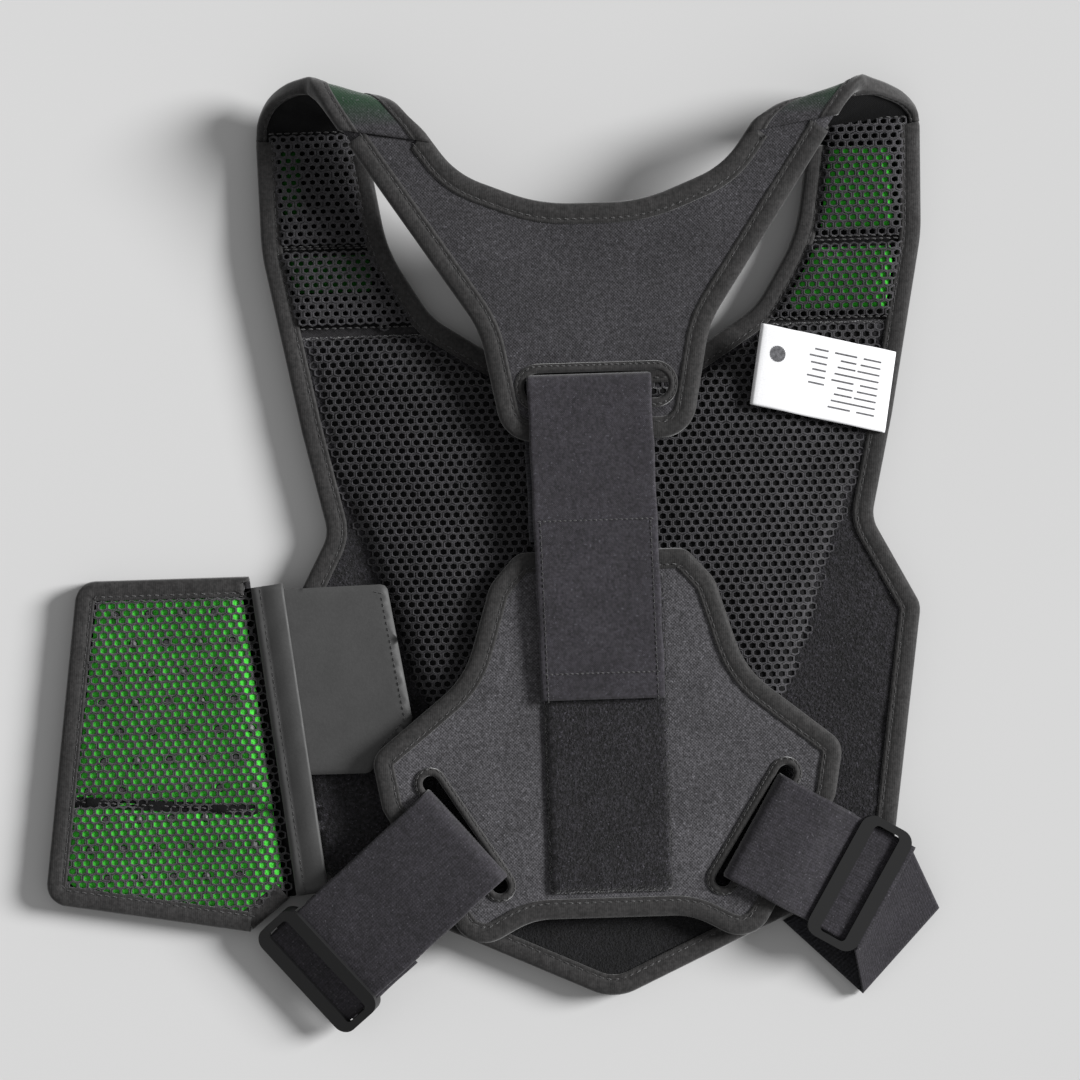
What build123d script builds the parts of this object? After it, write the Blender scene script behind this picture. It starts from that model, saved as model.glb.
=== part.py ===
"""Vest-type back brace, lying flat on the outer face of its front panel.

X runs across the brace with its centre line at 0, +Y runs towards the shoulders, +Z is up.
The origin is on the centre line, on the floor face of the front panel.
"""

import os
from math import cos, radians, sin, tan

from build123d import *

# Driving dimensions, in millimetres and degrees.
BINDING = 9.0  # width of the folded edge tape
SEAM_INSET = 1.5  # body fabric stops this far inside the edge tape
GAP = 0.3  # clearance between pieces that move apart
PANEL_H = 10.0  # front panel without its tape
SHELL_T = 2.0
LINING_T = 2.0
PAD_TOP = 22.0  # crown of the chest pad
FOLD_R = 15.0  # mid-surface radius of the shoulder fold
FOLD_T = 6.0
FOLD_BASE = 4.0  # height of the fold's mid-surface where it starts
FOLD_STATIONS = 9
WEBBING = 50.0  # elastic strap width
WEB_T = 1.6
STRAP_W = 53.0  # central strap width
STRAP_T = 2.0
YOKE_T = 5.0
YOKE_END = (43.0, 25.0)  # y and underside height at the yoke's lower end
YOKE_TILT = 2.6
PLATE_T = 5.0
PLATE_TOP_END = (-4.5, 22.6)  # y and underside height at the plate's upper end
PLATE_TILT = 3.0
SLOT_CENTRE = (62.0, -124.5)  # elastic strap slot in the lumbar plate
SLOT_ANGLE = 57.7  # direction of the slot's length
LEFT_HEADING = 41.0  # the left elastic strap runs out this far below the X axis
RIGHT_HEADING = 30.5
WING_T = 10.0
WING_HINGE_X = -155.0
SLIDER_L = 58.0
SLIDER_W = 24.0
SLIDER_CORNER = 6.0


def mirrored(points):
    """The half outline, and its mirror image back up the other side."""
    return points + [(-x, y) for x, y in reversed(points)]


def both(radii):
    """Corner radii for a mirrored outline."""
    return radii + radii[::-1]


# Half outlines on the +X side, as corners with their radii.
PANEL_POINTS = [(36, 76), (70, 98), (88, 128), (95, 170), (143, 176), (142, 128), (127, 50),
                (117, 6), (137, -32), (121, -143), (5, -196)]
PANEL_RADII = [30, 30, 60, 0.5, 0.5, 80, 60, 14, 10, 14, 20]
PAD_POINTS = [(33, 66.8), (69, 90), (74, 91.5), (124, 91.5), (114, 32), (96, -15), (86, -50),
              (73, -80), (50, -140)]
PAD_RADII = [25, 5, 1, 2, 8, 30, 30, 30, 12]
YOKE_POINTS = [(22, 144), (57, 158), (70, 176.5), (109.5, 182.2), (49, 91), (40, 43)]
YOKE_RADII = [70, 45, 0.5, 0.5, 45, 15]
PLATE_POINTS = [(36, -4.5), (48, -18), (60, -57), (101, -90), (97, -113), (60, -176), (34, -162)]
PLATE_RADII = [8, 14, 40, 9, 9, 14, 30]
UPPER_SEGMENT = [(100, 129.5), (104.5, 164), (133, 168), (131.5, 129.5)]
LOWER_SEGMENT = [(86, 93), (98.5, 128), (131, 128), (124.5, 93)]

yoke_plane = Plane(
    origin=(0, YOKE_END[0], YOKE_END[1]),
    x_dir=(1, 0, 0),
    z_dir=(0, -sin(radians(YOKE_TILT)), cos(radians(YOKE_TILT))),
)
plate_plane = Plane(
    origin=(0, PLATE_TOP_END[0], PLATE_TOP_END[1]),
    x_dir=(1, 0, 0),
    z_dir=(0, -sin(radians(PLATE_TILT)), cos(radians(PLATE_TILT))),
)


def on_yoke(height):
    """The yoke's own plane, raised by height, with y counted from the brace's origin."""
    lifted = yoke_plane.offset(height)
    return Plane(lifted.from_local_coords((0, -YOKE_END[0], 0)), lifted.x_dir, lifted.z_dir)


def on_plate(height):
    """The lumbar plate's own plane, raised by height, with y counted from the brace's origin."""
    lifted = plate_plane.offset(height)
    return Plane(lifted.from_local_coords((0, -PLATE_TOP_END[0], 0)), lifted.x_dir, lifted.z_dir)


def write(piece, name):
    """Label a finished piece and write its STEP file."""
    piece.part.label = name
    export_step(piece.part, f"parts/{name}.step")


def closed_outline(points, radii):
    """A filled outline with rounded corners, in the current sketch."""
    with BuildLine() as edge:
        FilletPolyline(*points, radius=radii, close=True)
    make_face(edge.line)


os.makedirs("parts", exist_ok=True)

# ---------------------------------------------------------------- outlines
with BuildSketch() as panel_outline:
    closed_outline(mirrored(PANEL_POINTS), both(PANEL_RADII))
with BuildSketch() as panel_inner:
    offset(panel_outline.sketch, amount=-SEAM_INSET)
with BuildSketch() as panel_field:
    offset(panel_outline.sketch, amount=-BINDING)
with BuildSketch() as stitched_field:
    offset(panel_outline.sketch, amount=-BINDING - 0.2)
with BuildSketch() as pad_outline:
    closed_outline(mirrored(PAD_POINTS), both(PAD_RADII))
    add(stitched_field.sketch, mode=Mode.INTERSECT)
with BuildSketch() as neck_zone:
    closed_outline(mirrored([(60, 55), (99, 95), (119, 170), (119, 200)]), 0)
with BuildSketch() as strap_ends:
    closed_outline([(104.5, 150), (133.5, 150), (133.5, 200), (104.5, 200)], 0)
    mirror(about=Plane.YZ)

# ---------------------------------------------------------------- front panel
with BuildPart() as front_shell:
    with BuildSketch():
        add(panel_inner.sketch)
    extrude(amount=SHELL_T)
write(front_shell, "front_shell")

with BuildPart() as front_foam:
    with BuildSketch(Plane.XY.offset(SHELL_T)):
        add(panel_inner.sketch)
    extrude(amount=PANEL_H - SHELL_T - LINING_T)
write(front_foam, "front_foam")

with BuildPart() as panel_binding:
    with BuildSketch():
        add(panel_outline.sketch)
        add(panel_inner.sketch, mode=Mode.SUBTRACT)
        add(neck_zone.sketch, mode=Mode.SUBTRACT)
        add(strap_ends.sketch, mode=Mode.SUBTRACT)
    extrude(amount=PANEL_H)
    with BuildSketch(Plane.XY.offset(PANEL_H)):
        add(panel_outline.sketch)
        add(panel_field.sketch, mode=Mode.SUBTRACT)
        add(neck_zone.sketch, mode=Mode.SUBTRACT)
        add(strap_ends.sketch, mode=Mode.SUBTRACT)
    extrude(amount=1)
write(panel_binding, "panel_binding")

with BuildPart() as neckline_binding:
    with BuildSketch():
        add(panel_outline.sketch)
        add(panel_inner.sketch, mode=Mode.SUBTRACT)
        add(neck_zone.sketch, mode=Mode.INTERSECT)
        add(strap_ends.sketch, mode=Mode.SUBTRACT)
    extrude(amount=PANEL_H)
    with BuildSketch(Plane.XY.offset(PANEL_H)):
        add(panel_outline.sketch)
        add(panel_field.sketch, mode=Mode.SUBTRACT)
        add(neck_zone.sketch, mode=Mode.INTERSECT)
        add(strap_ends.sketch, mode=Mode.SUBTRACT)
    extrude(amount=1)
write(neckline_binding, "neckline_binding")

# The chest pad is crowned across its width and falls away towards both ends.
with BuildPart() as chest_mesh_pad:
    with BuildSketch(Plane.XY.offset(PANEL_H - LINING_T)):
        add(pad_outline.sketch)
    extrude(amount=PAD_TOP)
    with BuildSketch(Plane.XZ):
        with BuildLine():
            Polyline((125, 11.5), (125, 0), (-125, 0), (-125, 11.5))
            Spline((-125, 11.5), (-98, 15), (-60, 21), (0, PAD_TOP), (60, 21), (98, 15), (125, 11.5))
        make_face()
    extrude(amount=200, both=True, mode=Mode.INTERSECT)
    with BuildSketch(Plane.YZ):
        with BuildLine():
            Polyline((100, 13), (100, 0), (-170, 0), (-170, 13.4), (PLATE_TOP_END[0], PAD_TOP))
            Spline((PLATE_TOP_END[0], PAD_TOP), (50, PAD_TOP), (80, 16.5), (100, 13))
        make_face()
    extrude(amount=200, both=True, mode=Mode.INTERSECT)
write(chest_mesh_pad, "chest_mesh_pad")


def side_lining(low_y, high_y, low_x, high_x):
    """Loop lining beside the chest pad, cut to a window of the panel."""
    add(panel_inner.sketch)
    with Locations(((low_x + high_x) / 2, (low_y + high_y) / 2)):
        Rectangle(high_x - low_x, high_y - low_y, mode=Mode.INTERSECT)
    offset(pad_outline.sketch, amount=0.05, mode=Mode.SUBTRACT)


with BuildPart() as loop_lining_left:
    with BuildSketch(Plane.XY.offset(PANEL_H - LINING_T)):
        side_lining(-152, 91, -150, 0)
        add(neck_zone.sketch, mode=Mode.SUBTRACT)
    extrude(amount=LINING_T)
write(loop_lining_left, "loop_lining_left")

with BuildPart() as loop_lining_right:
    with BuildSketch(Plane.XY.offset(PANEL_H - LINING_T)):
        side_lining(-152, 91, 0, 150)
        add(neck_zone.sketch, mode=Mode.SUBTRACT)
    extrude(amount=LINING_T)
write(loop_lining_right, "loop_lining_right")

with BuildPart() as loop_lining_bottom:
    with BuildSketch(Plane.XY.offset(PANEL_H - LINING_T)):
        side_lining(-200, -152, -150, 150)
    extrude(amount=LINING_T)
write(loop_lining_bottom, "loop_lining_bottom")


def strap_segment(points, side, height):
    """A quilted segment of shoulder strap: the mesh cover, hollowed for its foam pad."""
    with BuildPart() as cover:
        with BuildSketch(Plane.XY.offset(PANEL_H - LINING_T)):
            closed_outline([(side * x, y) for x, y in points], 4)
        extrude(amount=height)
        fillet(cover.faces().sort_by(Axis.Z)[-1].edges(), 2)
        with BuildSketch(Plane.XY.offset(PANEL_H - LINING_T)) as pocket:
            closed_outline([(side * x, y) for x, y in points], 4)
            offset(amount=-4.2, mode=Mode.REPLACE)
        extrude(amount=height - 1.6, mode=Mode.SUBTRACT)
    return cover


def strap_pad(points, side, height):
    """The green foam pad inside a strap segment."""
    with BuildPart() as pad:
        with BuildSketch(Plane.XY.offset(PANEL_H - LINING_T)):
            closed_outline([(side * x, y) for x, y in points], 4)
            offset(amount=-4.4, mode=Mode.REPLACE)
        extrude(amount=height - 1.8)
    return pad


for side, word in ((-1, "left"), (1, "right")):
    for points, level, height in ((UPPER_SEGMENT, "upper", 5.5), (LOWER_SEGMENT, "lower", 6.0)):
        write(strap_segment(points, side, height), f"strap_mesh_{level}_{word}")
        write(strap_pad(points, side, height), f"strap_pad_{level}_{word}")


def fold_station(turn):
    """Where the fold's two edges stand at a given part of its half turn, 0 at the floor side."""
    angle = radians(-90 + 180 * turn)
    outer = Vector(143 - 33.5 * turn, 176.2 + 6 * turn + FOLD_R * cos(angle), 0)
    inner = Vector(95 - 25 * turn, 170.2 + 6.3 * turn + FOLD_R * cos(angle), 0)
    rise = Vector(0, 0, FOLD_BASE + FOLD_R * (1 + sin(angle)))
    return outer + rise, inner + rise, angle


# Padded fabric that turns over each shoulder, narrowing towards the neck.
with BuildPart() as shoulder_fold_right:
    for station in range(FOLD_STATIONS):
        outer, inner, angle = fold_station(station / (FOLD_STATIONS - 1))
        across = (outer - inner).normalized()
        outward = Vector(0, cos(angle), sin(angle))
        outward = outward - across * outward.dot(across)
        middle = (outer + inner) / 2
        with BuildSketch(Plane(origin=middle, x_dir=across, z_dir=across.cross(outward))):
            Rectangle((outer - inner).length, FOLD_T)
    loft(ruled=True)
write(shoulder_fold_right, "shoulder_fold_right")

with BuildPart() as shoulder_fold_left:
    mirror(shoulder_fold_right.part, about=Plane.YZ)
write(shoulder_fold_left, "shoulder_fold_left")

# ---------------------------------------------------------------- back yoke
with BuildSketch() as yoke_outline:
    closed_outline(mirrored(YOKE_POINTS), both(YOKE_RADII))
with BuildSketch() as yoke_inner:
    offset(yoke_outline.sketch, amount=-SEAM_INSET)
with BuildSketch() as yoke_field:
    offset(yoke_outline.sketch, amount=-BINDING)
with BuildSketch() as yoke_slot:
    with Locations((0, 66)):
        SlotOverall(62, 12)
with BuildSketch() as yoke_rim_outline:
    with Locations((0, 66)):
        SlotOverall(70, 20)
with BuildSketch() as yoke_neck_zone:
    closed_outline(mirrored([(0.5, 125), (50, 135), (90, 178), (90, 210)]), 0)
with BuildSketch() as arm_ends:
    closed_outline([(75.5, 167), (89, 168.5), (101, 186.5), (101, 195), (92, 195), (85, 180)], 0)
    mirror(about=Plane.YZ)


def yoke_layer(bottom, top):
    """One fabric layer of the yoke with the strap slot cut through."""
    with BuildPart() as layer:
        with BuildSketch(on_yoke(bottom)):
            add(yoke_inner.sketch)
            add(yoke_slot.sketch, mode=Mode.SUBTRACT)
        extrude(amount=top - bottom)
    return layer


write(yoke_layer(0, 1.2), "yoke_lining")
write(yoke_layer(1.2, 3.8), "yoke_foam")
write(yoke_layer(3.8, YOKE_T), "yoke_panel")


def yoke_binding(neck):
    """Edge tape of the yoke: a side wall and a top leaf, on the neck side or on the rest."""
    keep = Mode.INTERSECT if neck else Mode.SUBTRACT
    with BuildPart() as tape:
        with BuildSketch(on_yoke(0)):
            add(yoke_outline.sketch)
            add(yoke_inner.sketch, mode=Mode.SUBTRACT)
            add(yoke_neck_zone.sketch, mode=keep)
            add(arm_ends.sketch, mode=Mode.SUBTRACT)
        extrude(amount=YOKE_T)
        with BuildSketch(on_yoke(YOKE_T)):
            add(yoke_outline.sketch)
            add(yoke_field.sketch, mode=Mode.SUBTRACT)
            add(yoke_neck_zone.sketch, mode=keep)
            add(arm_ends.sketch, mode=Mode.SUBTRACT)
        extrude(amount=0.8)
    return tape


write(yoke_binding(True), "neck_binding")
write(yoke_binding(False), "yoke_edge_binding")

with BuildPart() as yoke_slot_rim:
    with BuildSketch(on_yoke(YOKE_T)):
        add(yoke_rim_outline.sketch)
        add(yoke_slot.sketch, mode=Mode.SUBTRACT)
        add(yoke_field.sketch, mode=Mode.INTERSECT)
    extrude(amount=0.7)
write(yoke_slot_rim, "yoke_slot_rim")

# ---------------------------------------------------------------- central strap
STRAP_TOP = 33.4
STRAP_SPLIT_Y = 41.0  # the free part of the strap swings from here
HOOK_T = 1.2
STRAP_END_Y = -68.0


def across_strap(points, width, shift=0):
    """A webbing profile in the length and height plane, extruded to its width."""
    with BuildSketch(Plane.YZ.offset(shift)) as profile:
        closed_outline(points, 0)
    extrude(profile.sketch, amount=width / 2, both=True)


with BuildPart() as strap_loop:
    across_strap([(STRAP_SPLIT_Y + GAP, STRAP_TOP), (67, STRAP_TOP + 0.8), (70.5, STRAP_TOP - 1),
                  (71, 28), (69, 23.2), (STRAP_SPLIT_Y + GAP, 22.4), (STRAP_SPLIT_Y + GAP, 24.0),
                  (67.5, 24.8), (69.2, 28), (68.8, 31.2), (66.5, STRAP_TOP - STRAP_T + 1),
                  (STRAP_SPLIT_Y + GAP, STRAP_TOP - STRAP_T)], STRAP_W)
write(strap_loop, "strap_loop")

plate_top = PLATE_TOP_END[1] + PLATE_T + 1.2  # top of the loop strip at the plate's upper end
drop = tan(radians(PLATE_TILT))


def strip_top(y):
    """Height of the loop strip's face on the tilted plate."""
    return plate_top + (y - PLATE_TOP_END[0]) * drop + 0.1


with BuildPart() as central_strap:
    across_strap([(STRAP_SPLIT_Y, STRAP_TOP), (-14, STRAP_TOP - 0.3),
                  (STRAP_END_Y, strip_top(STRAP_END_Y) + GAP + HOOK_T + STRAP_T),
                  (STRAP_END_Y, strip_top(STRAP_END_Y) + GAP + HOOK_T),
                  (-14, strip_top(-14) + GAP + HOOK_T), (STRAP_SPLIT_Y, STRAP_TOP - STRAP_T)],
                 STRAP_W)
write(central_strap, "central_strap")

with BuildPart() as strap_hook_patch:
    across_strap([(-20, strip_top(-20) + GAP + HOOK_T), (-20, strip_top(-20) + GAP),
                  (STRAP_END_Y + 2, strip_top(STRAP_END_Y + 2) + GAP),
                  (STRAP_END_Y + 2, strip_top(STRAP_END_Y + 2) + GAP + HOOK_T)], STRAP_W - 4)
write(strap_hook_patch, "strap_hook_patch")

with BuildPart() as strap_return_layer:
    across_strap([(STRAP_SPLIT_Y, 24.0), (30, 28.6), (20, STRAP_TOP - STRAP_T - 0.6),
                  (0, STRAP_TOP - STRAP_T - 1.3), (0, 29.1), (20, 29.4), (30, 27),
                  (STRAP_SPLIT_Y, 22.4)], STRAP_W, -2)
write(strap_return_layer, "strap_return_layer")

# ---------------------------------------------------------------- lumbar plate
with BuildSketch() as plate_outline:
    closed_outline(mirrored(PLATE_POINTS), both(PLATE_RADII))
with BuildSketch() as plate_inner:
    offset(plate_outline.sketch, amount=-SEAM_INSET)
with BuildSketch() as plate_field:
    offset(plate_outline.sketch, amount=-BINDING)


def plate_slots(length, width):
    """Both strap slots of the lumbar plate."""
    for side in (-1, 1):
        with Locations(Location((side * SLOT_CENTRE[0], SLOT_CENTRE[1]), side * SLOT_ANGLE)):
            SlotOverall(length, width)


with BuildSketch() as slot_holes:
    plate_slots(60, 7)

LOOP_STRIP_W = 52.0


def plate_layer(bottom, top, inset):
    """One layer of the lumbar plate with both slots cut through."""
    with BuildPart() as layer:
        with BuildSketch(on_plate(bottom)):
            offset(plate_outline.sketch, amount=-inset)
            add(slot_holes.sketch, mode=Mode.SUBTRACT)
        extrude(amount=top - bottom)
    return layer


write(plate_layer(0, 1.2, SEAM_INSET), "lumbar_backing")
write(plate_layer(3.8, PLATE_T, SEAM_INSET), "lumbar_cover")

with BuildPart() as lumbar_board:
    with BuildSketch(on_plate(1.2)):
        offset(plate_outline.sketch, amount=-BINDING)
        add(slot_holes.sketch, mode=Mode.SUBTRACT)
        plate_slots(68, 15)
    extrude(amount=2.6)
    with BuildSketch(on_plate(1.2)):
        add(slot_holes.sketch)
    extrude(amount=2.6, mode=Mode.SUBTRACT)
write(lumbar_board, "lumbar_board")

with BuildPart() as lumbar_binding:
    with BuildSketch(on_plate(0)):
        add(plate_outline.sketch)
        add(plate_inner.sketch, mode=Mode.SUBTRACT)
    extrude(amount=PLATE_T)
    with BuildSketch(on_plate(PLATE_T)):
        add(plate_outline.sketch)
        add(plate_field.sketch, mode=Mode.SUBTRACT)
        with Locations((0, PLATE_TOP_END[0])):
            Rectangle(LOOP_STRIP_W + 0.2, 2 * BINDING + 2, mode=Mode.SUBTRACT)
    extrude(amount=0.8)
write(lumbar_binding, "lumbar_binding")

with BuildPart() as lumbar_loop_strip:
    with BuildSketch(on_plate(PLATE_T)):
        add(plate_inner.sketch)
        with Locations((0, -75)):
            Rectangle(LOOP_STRIP_W, 144, mode=Mode.INTERSECT)
        with Locations((0, -160)):
            Rectangle(LOOP_STRIP_W, 20, mode=Mode.SUBTRACT)
    extrude(amount=1.2)
write(lumbar_loop_strip, "lumbar_loop_strip")

for side, word in ((-1, "left"), (1, "right")):
    with BuildPart() as slot_rim:
        with BuildSketch(on_plate(PLATE_T)):
            with Locations(Location((side * SLOT_CENTRE[0], SLOT_CENTRE[1]), side * SLOT_ANGLE)):
                SlotOverall(67, 14)
                SlotOverall(60, 7, mode=Mode.SUBTRACT)
            add(plate_field.sketch, mode=Mode.INTERSECT)
        extrude(amount=0.8)
    write(slot_rim, f"lumbar_slot_rim_{word}")

# ---------------------------------------------------------------- elastic straps and slide buckles
slot_z = on_plate(PLATE_T).from_local_coords((0, SLOT_CENTRE[1], 0)).Z  # plate top at the slots


def strap_frame(side, heading):
    """Upright plane through a slot's centre: x runs out along the strap, y is height."""
    run = Vector(side * cos(radians(heading)), -sin(radians(heading)), 0)
    normal = run.cross(Vector(0, 0, 1))
    return Plane(origin=(side * SLOT_CENTRE[0], SLOT_CENTRE[1], 0), x_dir=run, z_dir=normal)


def ribbon(plane, centre_line, thickness, width):
    """A strap of even thickness along a line of (distance, height) points."""
    with BuildSketch(plane) as profile:
        with BuildLine() as path:
            Polyline(*centre_line)
            offset(amount=thickness / 2, kind=Kind.INTERSECTION)
        make_face(path.line)
    extrude(profile.sketch, amount=width / 2, both=True)


def slot_web(side, low):
    """The stretch of webbing that stands in a lumbar slot, from the height low upwards."""
    with BuildSketch(Plane.XY.offset(low)) as web:
        with Locations(Location((side * SLOT_CENTRE[0], SLOT_CENTRE[1]), side * SLOT_ANGLE)):
            Rectangle(WEBBING, 2.4)
    extrude(web.sketch, amount=slot_z + 3 - low)


left_frame = strap_frame(-1, LEFT_HEADING)
right_frame = strap_frame(1, RIGHT_HEADING)
EDGE_S = 21.0  # distance from the slot line to the plate's edge
RUN_Z = slot_z + 3.5  # the upper run's middle where it leaves the slot
RETURN_Z = slot_z - 7.5  # the return layer's middle under the plate

with BuildPart() as elastic_left:
    slot_web(-1, RETURN_Z + 1)
    ribbon(left_frame, [(-4, RUN_Z), (EDGE_S + 6, RUN_Z - 0.4), (74, 18), (97, 7)], WEB_T, WEBBING)
write(elastic_left, "elastic_left")

with BuildPart() as elastic_right:
    slot_web(1, RETURN_Z + 1)
    ribbon(right_frame, [(-1.2, RUN_Z), (EDGE_S + 3, RUN_Z - 0.6), (36, 16.6), (65, 15)],
           WEB_T, WEBBING)
write(elastic_right, "elastic_right")

with BuildPart() as elastic_left_return:
    ribbon(left_frame, [(3, 13.1), (EDGE_S + 5, 13.1), (42, 15.2), (70, 15.4)], WEB_T, WEBBING)
write(elastic_left_return, "elastic_left_return")

with BuildPart() as elastic_right_return:
    ribbon(right_frame, [(-1.2, RETURN_Z), (EDGE_S + 4, 12.8), (36, 12.2)], WEB_T, WEBBING)
write(elastic_right_return, "elastic_right_return")

with BuildPart() as elastic_left_tail:
    with BuildSketch(Plane.XY.offset(3)):
        with Locations(Location((-107, -166), 41)):
            Rectangle(58, WEBBING)
        offset(panel_outline.sketch, amount=0.2, mode=Mode.SUBTRACT)
    extrude(amount=WEB_T)
write(elastic_left_tail, "elastic_left_tail")

RIGHT_FOLD = [(141, -163), (107, -199)]  # where the right strap turns under itself
with BuildPart() as elastic_right_tail:
    with BuildSketch():
        closed_outline([(131.5, -137), RIGHT_FOLD[0], RIGHT_FOLD[1], (106, -180.5)], 0)
    extrude(amount=30)
    with BuildSketch(Plane.YZ):
        closed_outline([(-130, 17.8), (-165, 9.6), (-205, 4.6), (-205, 3), (-165, 8), (-130, 16.2)], 0)
    extrude(amount=200, both=True, mode=Mode.INTERSECT)
write(elastic_right_tail, "elastic_right_tail")

with BuildPart() as elastic_right_under:
    with BuildSketch(Plane.XY.offset(1)):
        closed_outline([RIGHT_FOLD[0], RIGHT_FOLD[1], (76, -169.1), (110, -133)], 0)
        offset(panel_outline.sketch, amount=0.2, mode=Mode.SUBTRACT)
    extrude(amount=WEB_T)
write(elastic_right_under, "elastic_right_under")


def slide_buckle(plane):
    """Three-bar slide: two outer bars over the webbing and a middle bar under it."""
    with BuildPart() as buckle:
        with BuildSketch(plane.offset(-1.1 - 2.2)):
            RectangleRounded(SLIDER_W, SLIDER_L, SLIDER_CORNER)
            Rectangle(SLIDER_W - 5, WEBBING + 1.4, mode=Mode.SUBTRACT)
            Rectangle(4, WEBBING + 2)
        extrude(amount=2.2)
        with BuildSketch(plane.offset(-1.1)):
            RectangleRounded(SLIDER_W, SLIDER_L, SLIDER_CORNER)
            Rectangle(SLIDER_W + 1, WEBBING + 1.4, mode=Mode.SUBTRACT)
        extrude(amount=2.2)
        with BuildSketch(plane.offset(1.1)):
            RectangleRounded(SLIDER_W, SLIDER_L, SLIDER_CORNER)
            RectangleRounded(SLIDER_W - 12, WEBBING + 1.4, 2, mode=Mode.SUBTRACT)
        extrude(amount=2.2)
        with BuildSketch(plane.offset(-4)):
            with Locations((SLIDER_W / 2 - 1.25, 0), (1.25 - SLIDER_W / 2, 0)):
                Rectangle(4, WEBBING + 1.4)
        extrude(amount=2.9, mode=Mode.SUBTRACT)
    return buckle


def buckle_plane(frame, start, end):
    """The webbing's own plane midway between two points of its (distance, height) line."""
    low, high = frame.from_local_coords(start), frame.from_local_coords(end)
    run = (high - low).normalized()
    side_dir = Vector(frame.z_dir)
    return Plane(origin=(low + high) / 2, x_dir=run, z_dir=run.cross(side_dir) * -1)


left_plane = buckle_plane(left_frame, (74, 18), (97, 7))
right_plane = buckle_plane(right_frame, (40, 16.38), (63, 15.11))
write(slide_buckle(left_plane), "slider_left")
write(slide_buckle(right_plane), "slider_right")

# ---------------------------------------------------------------- side wing
WING_TOP = -11.0
WING_POINTS = [(-226, WING_TOP), (-244, -149), (-156, -164), (-138.5, -150), (-152, WING_TOP)]


def wing_sketch(inset, moving):
    """The wing's outline, inset from its edge, on one side of its fold line."""
    closed_outline(WING_POINTS, [9, 9, 0.5, 0.5, 0.5])
    if inset:
        offset(amount=-inset, mode=Mode.REPLACE)
    reach = -60 - GAP / 2 if moving else 60 + GAP / 2
    centre = WING_HINGE_X + reach
    with Locations((centre, -80)):
        Rectangle(120, 200, mode=Mode.INTERSECT)


with BuildPart() as wing_backing:
    with BuildSketch():
        wing_sketch(SEAM_INSET, True)
    extrude(amount=2)
write(wing_backing, "wing_backing")

with BuildPart() as wing_foam:
    with BuildSketch(Plane.XY.offset(2)):
        wing_sketch(BINDING, True)
    extrude(amount=5)
write(wing_foam, "wing_foam")

with BuildPart() as wing_mesh:
    with BuildSketch(Plane.XY.offset(7)):
        wing_sketch(SEAM_INSET, True)
    extrude(amount=WING_T - 7)
write(wing_mesh, "wing_mesh")

with BuildPart() as wing_binding:
    with BuildSketch():
        wing_sketch(0, True)
        with BuildSketch(mode=Mode.PRIVATE) as inner:
            wing_sketch(SEAM_INSET, True)
        add(inner.sketch, mode=Mode.SUBTRACT)
        with Locations((WING_HINGE_X, -80)):
            Rectangle(6, 132, mode=Mode.SUBTRACT)
    extrude(amount=WING_T)
write(wing_binding, "wing_binding")

with BuildPart() as wing_root:
    with BuildSketch():
        wing_sketch(0, False)
    extrude(amount=WING_T - 0.6)
write(wing_root, "wing_root")

SEAM_RUN = Vector(0.116, -0.993, 0)
tape_plane = Plane(origin=(-151.4, -16, 0), x_dir=SEAM_RUN.cross(Vector(0, 0, 1)) * -1, z_dir=SEAM_RUN)
with BuildPart() as wing_tape:
    with BuildSketch(tape_plane):
        closed_outline([(2.5, 9.5), (2.5, 11.2), (12, 13.1), (28, 13.1), (28, 11.4), (12, 11.4),
                        (9, 10.8), (4, 9.5)], 0)
    extrude(amount=134)
write(wing_tape, "wing_tape")

TAB_TILT = 8.0
tab_plane = Plane(
    origin=(-134, 0, 13.5),
    x_dir=(cos(radians(TAB_TILT)), 0, sin(radians(TAB_TILT))),
    z_dir=(-sin(radians(TAB_TILT)), 0, cos(radians(TAB_TILT))),
)
TAB_POINTS = [(0, -17), (42, -16), (48, -60), (30, -92), (8, -95)]
with BuildPart() as wing_tab:
    with BuildSketch(tab_plane):
        closed_outline(TAB_POINTS, [1, 2, 3, 2, 1])
    extrude(amount=1.8)
write(wing_tab, "wing_tab")

with BuildPart() as wing_hook_patch:
    with BuildSketch(tab_plane.offset(-1.3)):
        closed_outline([(12, -24), (26, -24), (32, -84), (14, -84)], 2)
    extrude(amount=1.2)
write(wing_hook_patch, "wing_hook_patch")

# ---------------------------------------------------------------- care label
LABEL_L, LABEL_W = 56.0, 35.0
label_plane = Plane(
    origin=(125, 60, 12.2),
    x_dir=Vector(-51, 12, 11.5).normalized(),
    z_dir=Vector(-51, 12, 11.5).cross(Vector(-6, -35, 0)).normalized(),
)
with BuildPart() as care_label:
    with BuildSketch(label_plane):
        with Locations((LABEL_L / 2, 0)):
            Rectangle(LABEL_L, LABEL_W)
    extrude(amount=1)
write(care_label, "care_label")
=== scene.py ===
"""Looks of the back brace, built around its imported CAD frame. Lengths are in millimetres until make()."""

import math

import bmesh
import bpy
import numpy as np
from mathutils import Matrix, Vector
from mathutils.bvhtree import BVHTree
from mathutils.geometry import delaunay_2d_cdt


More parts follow.
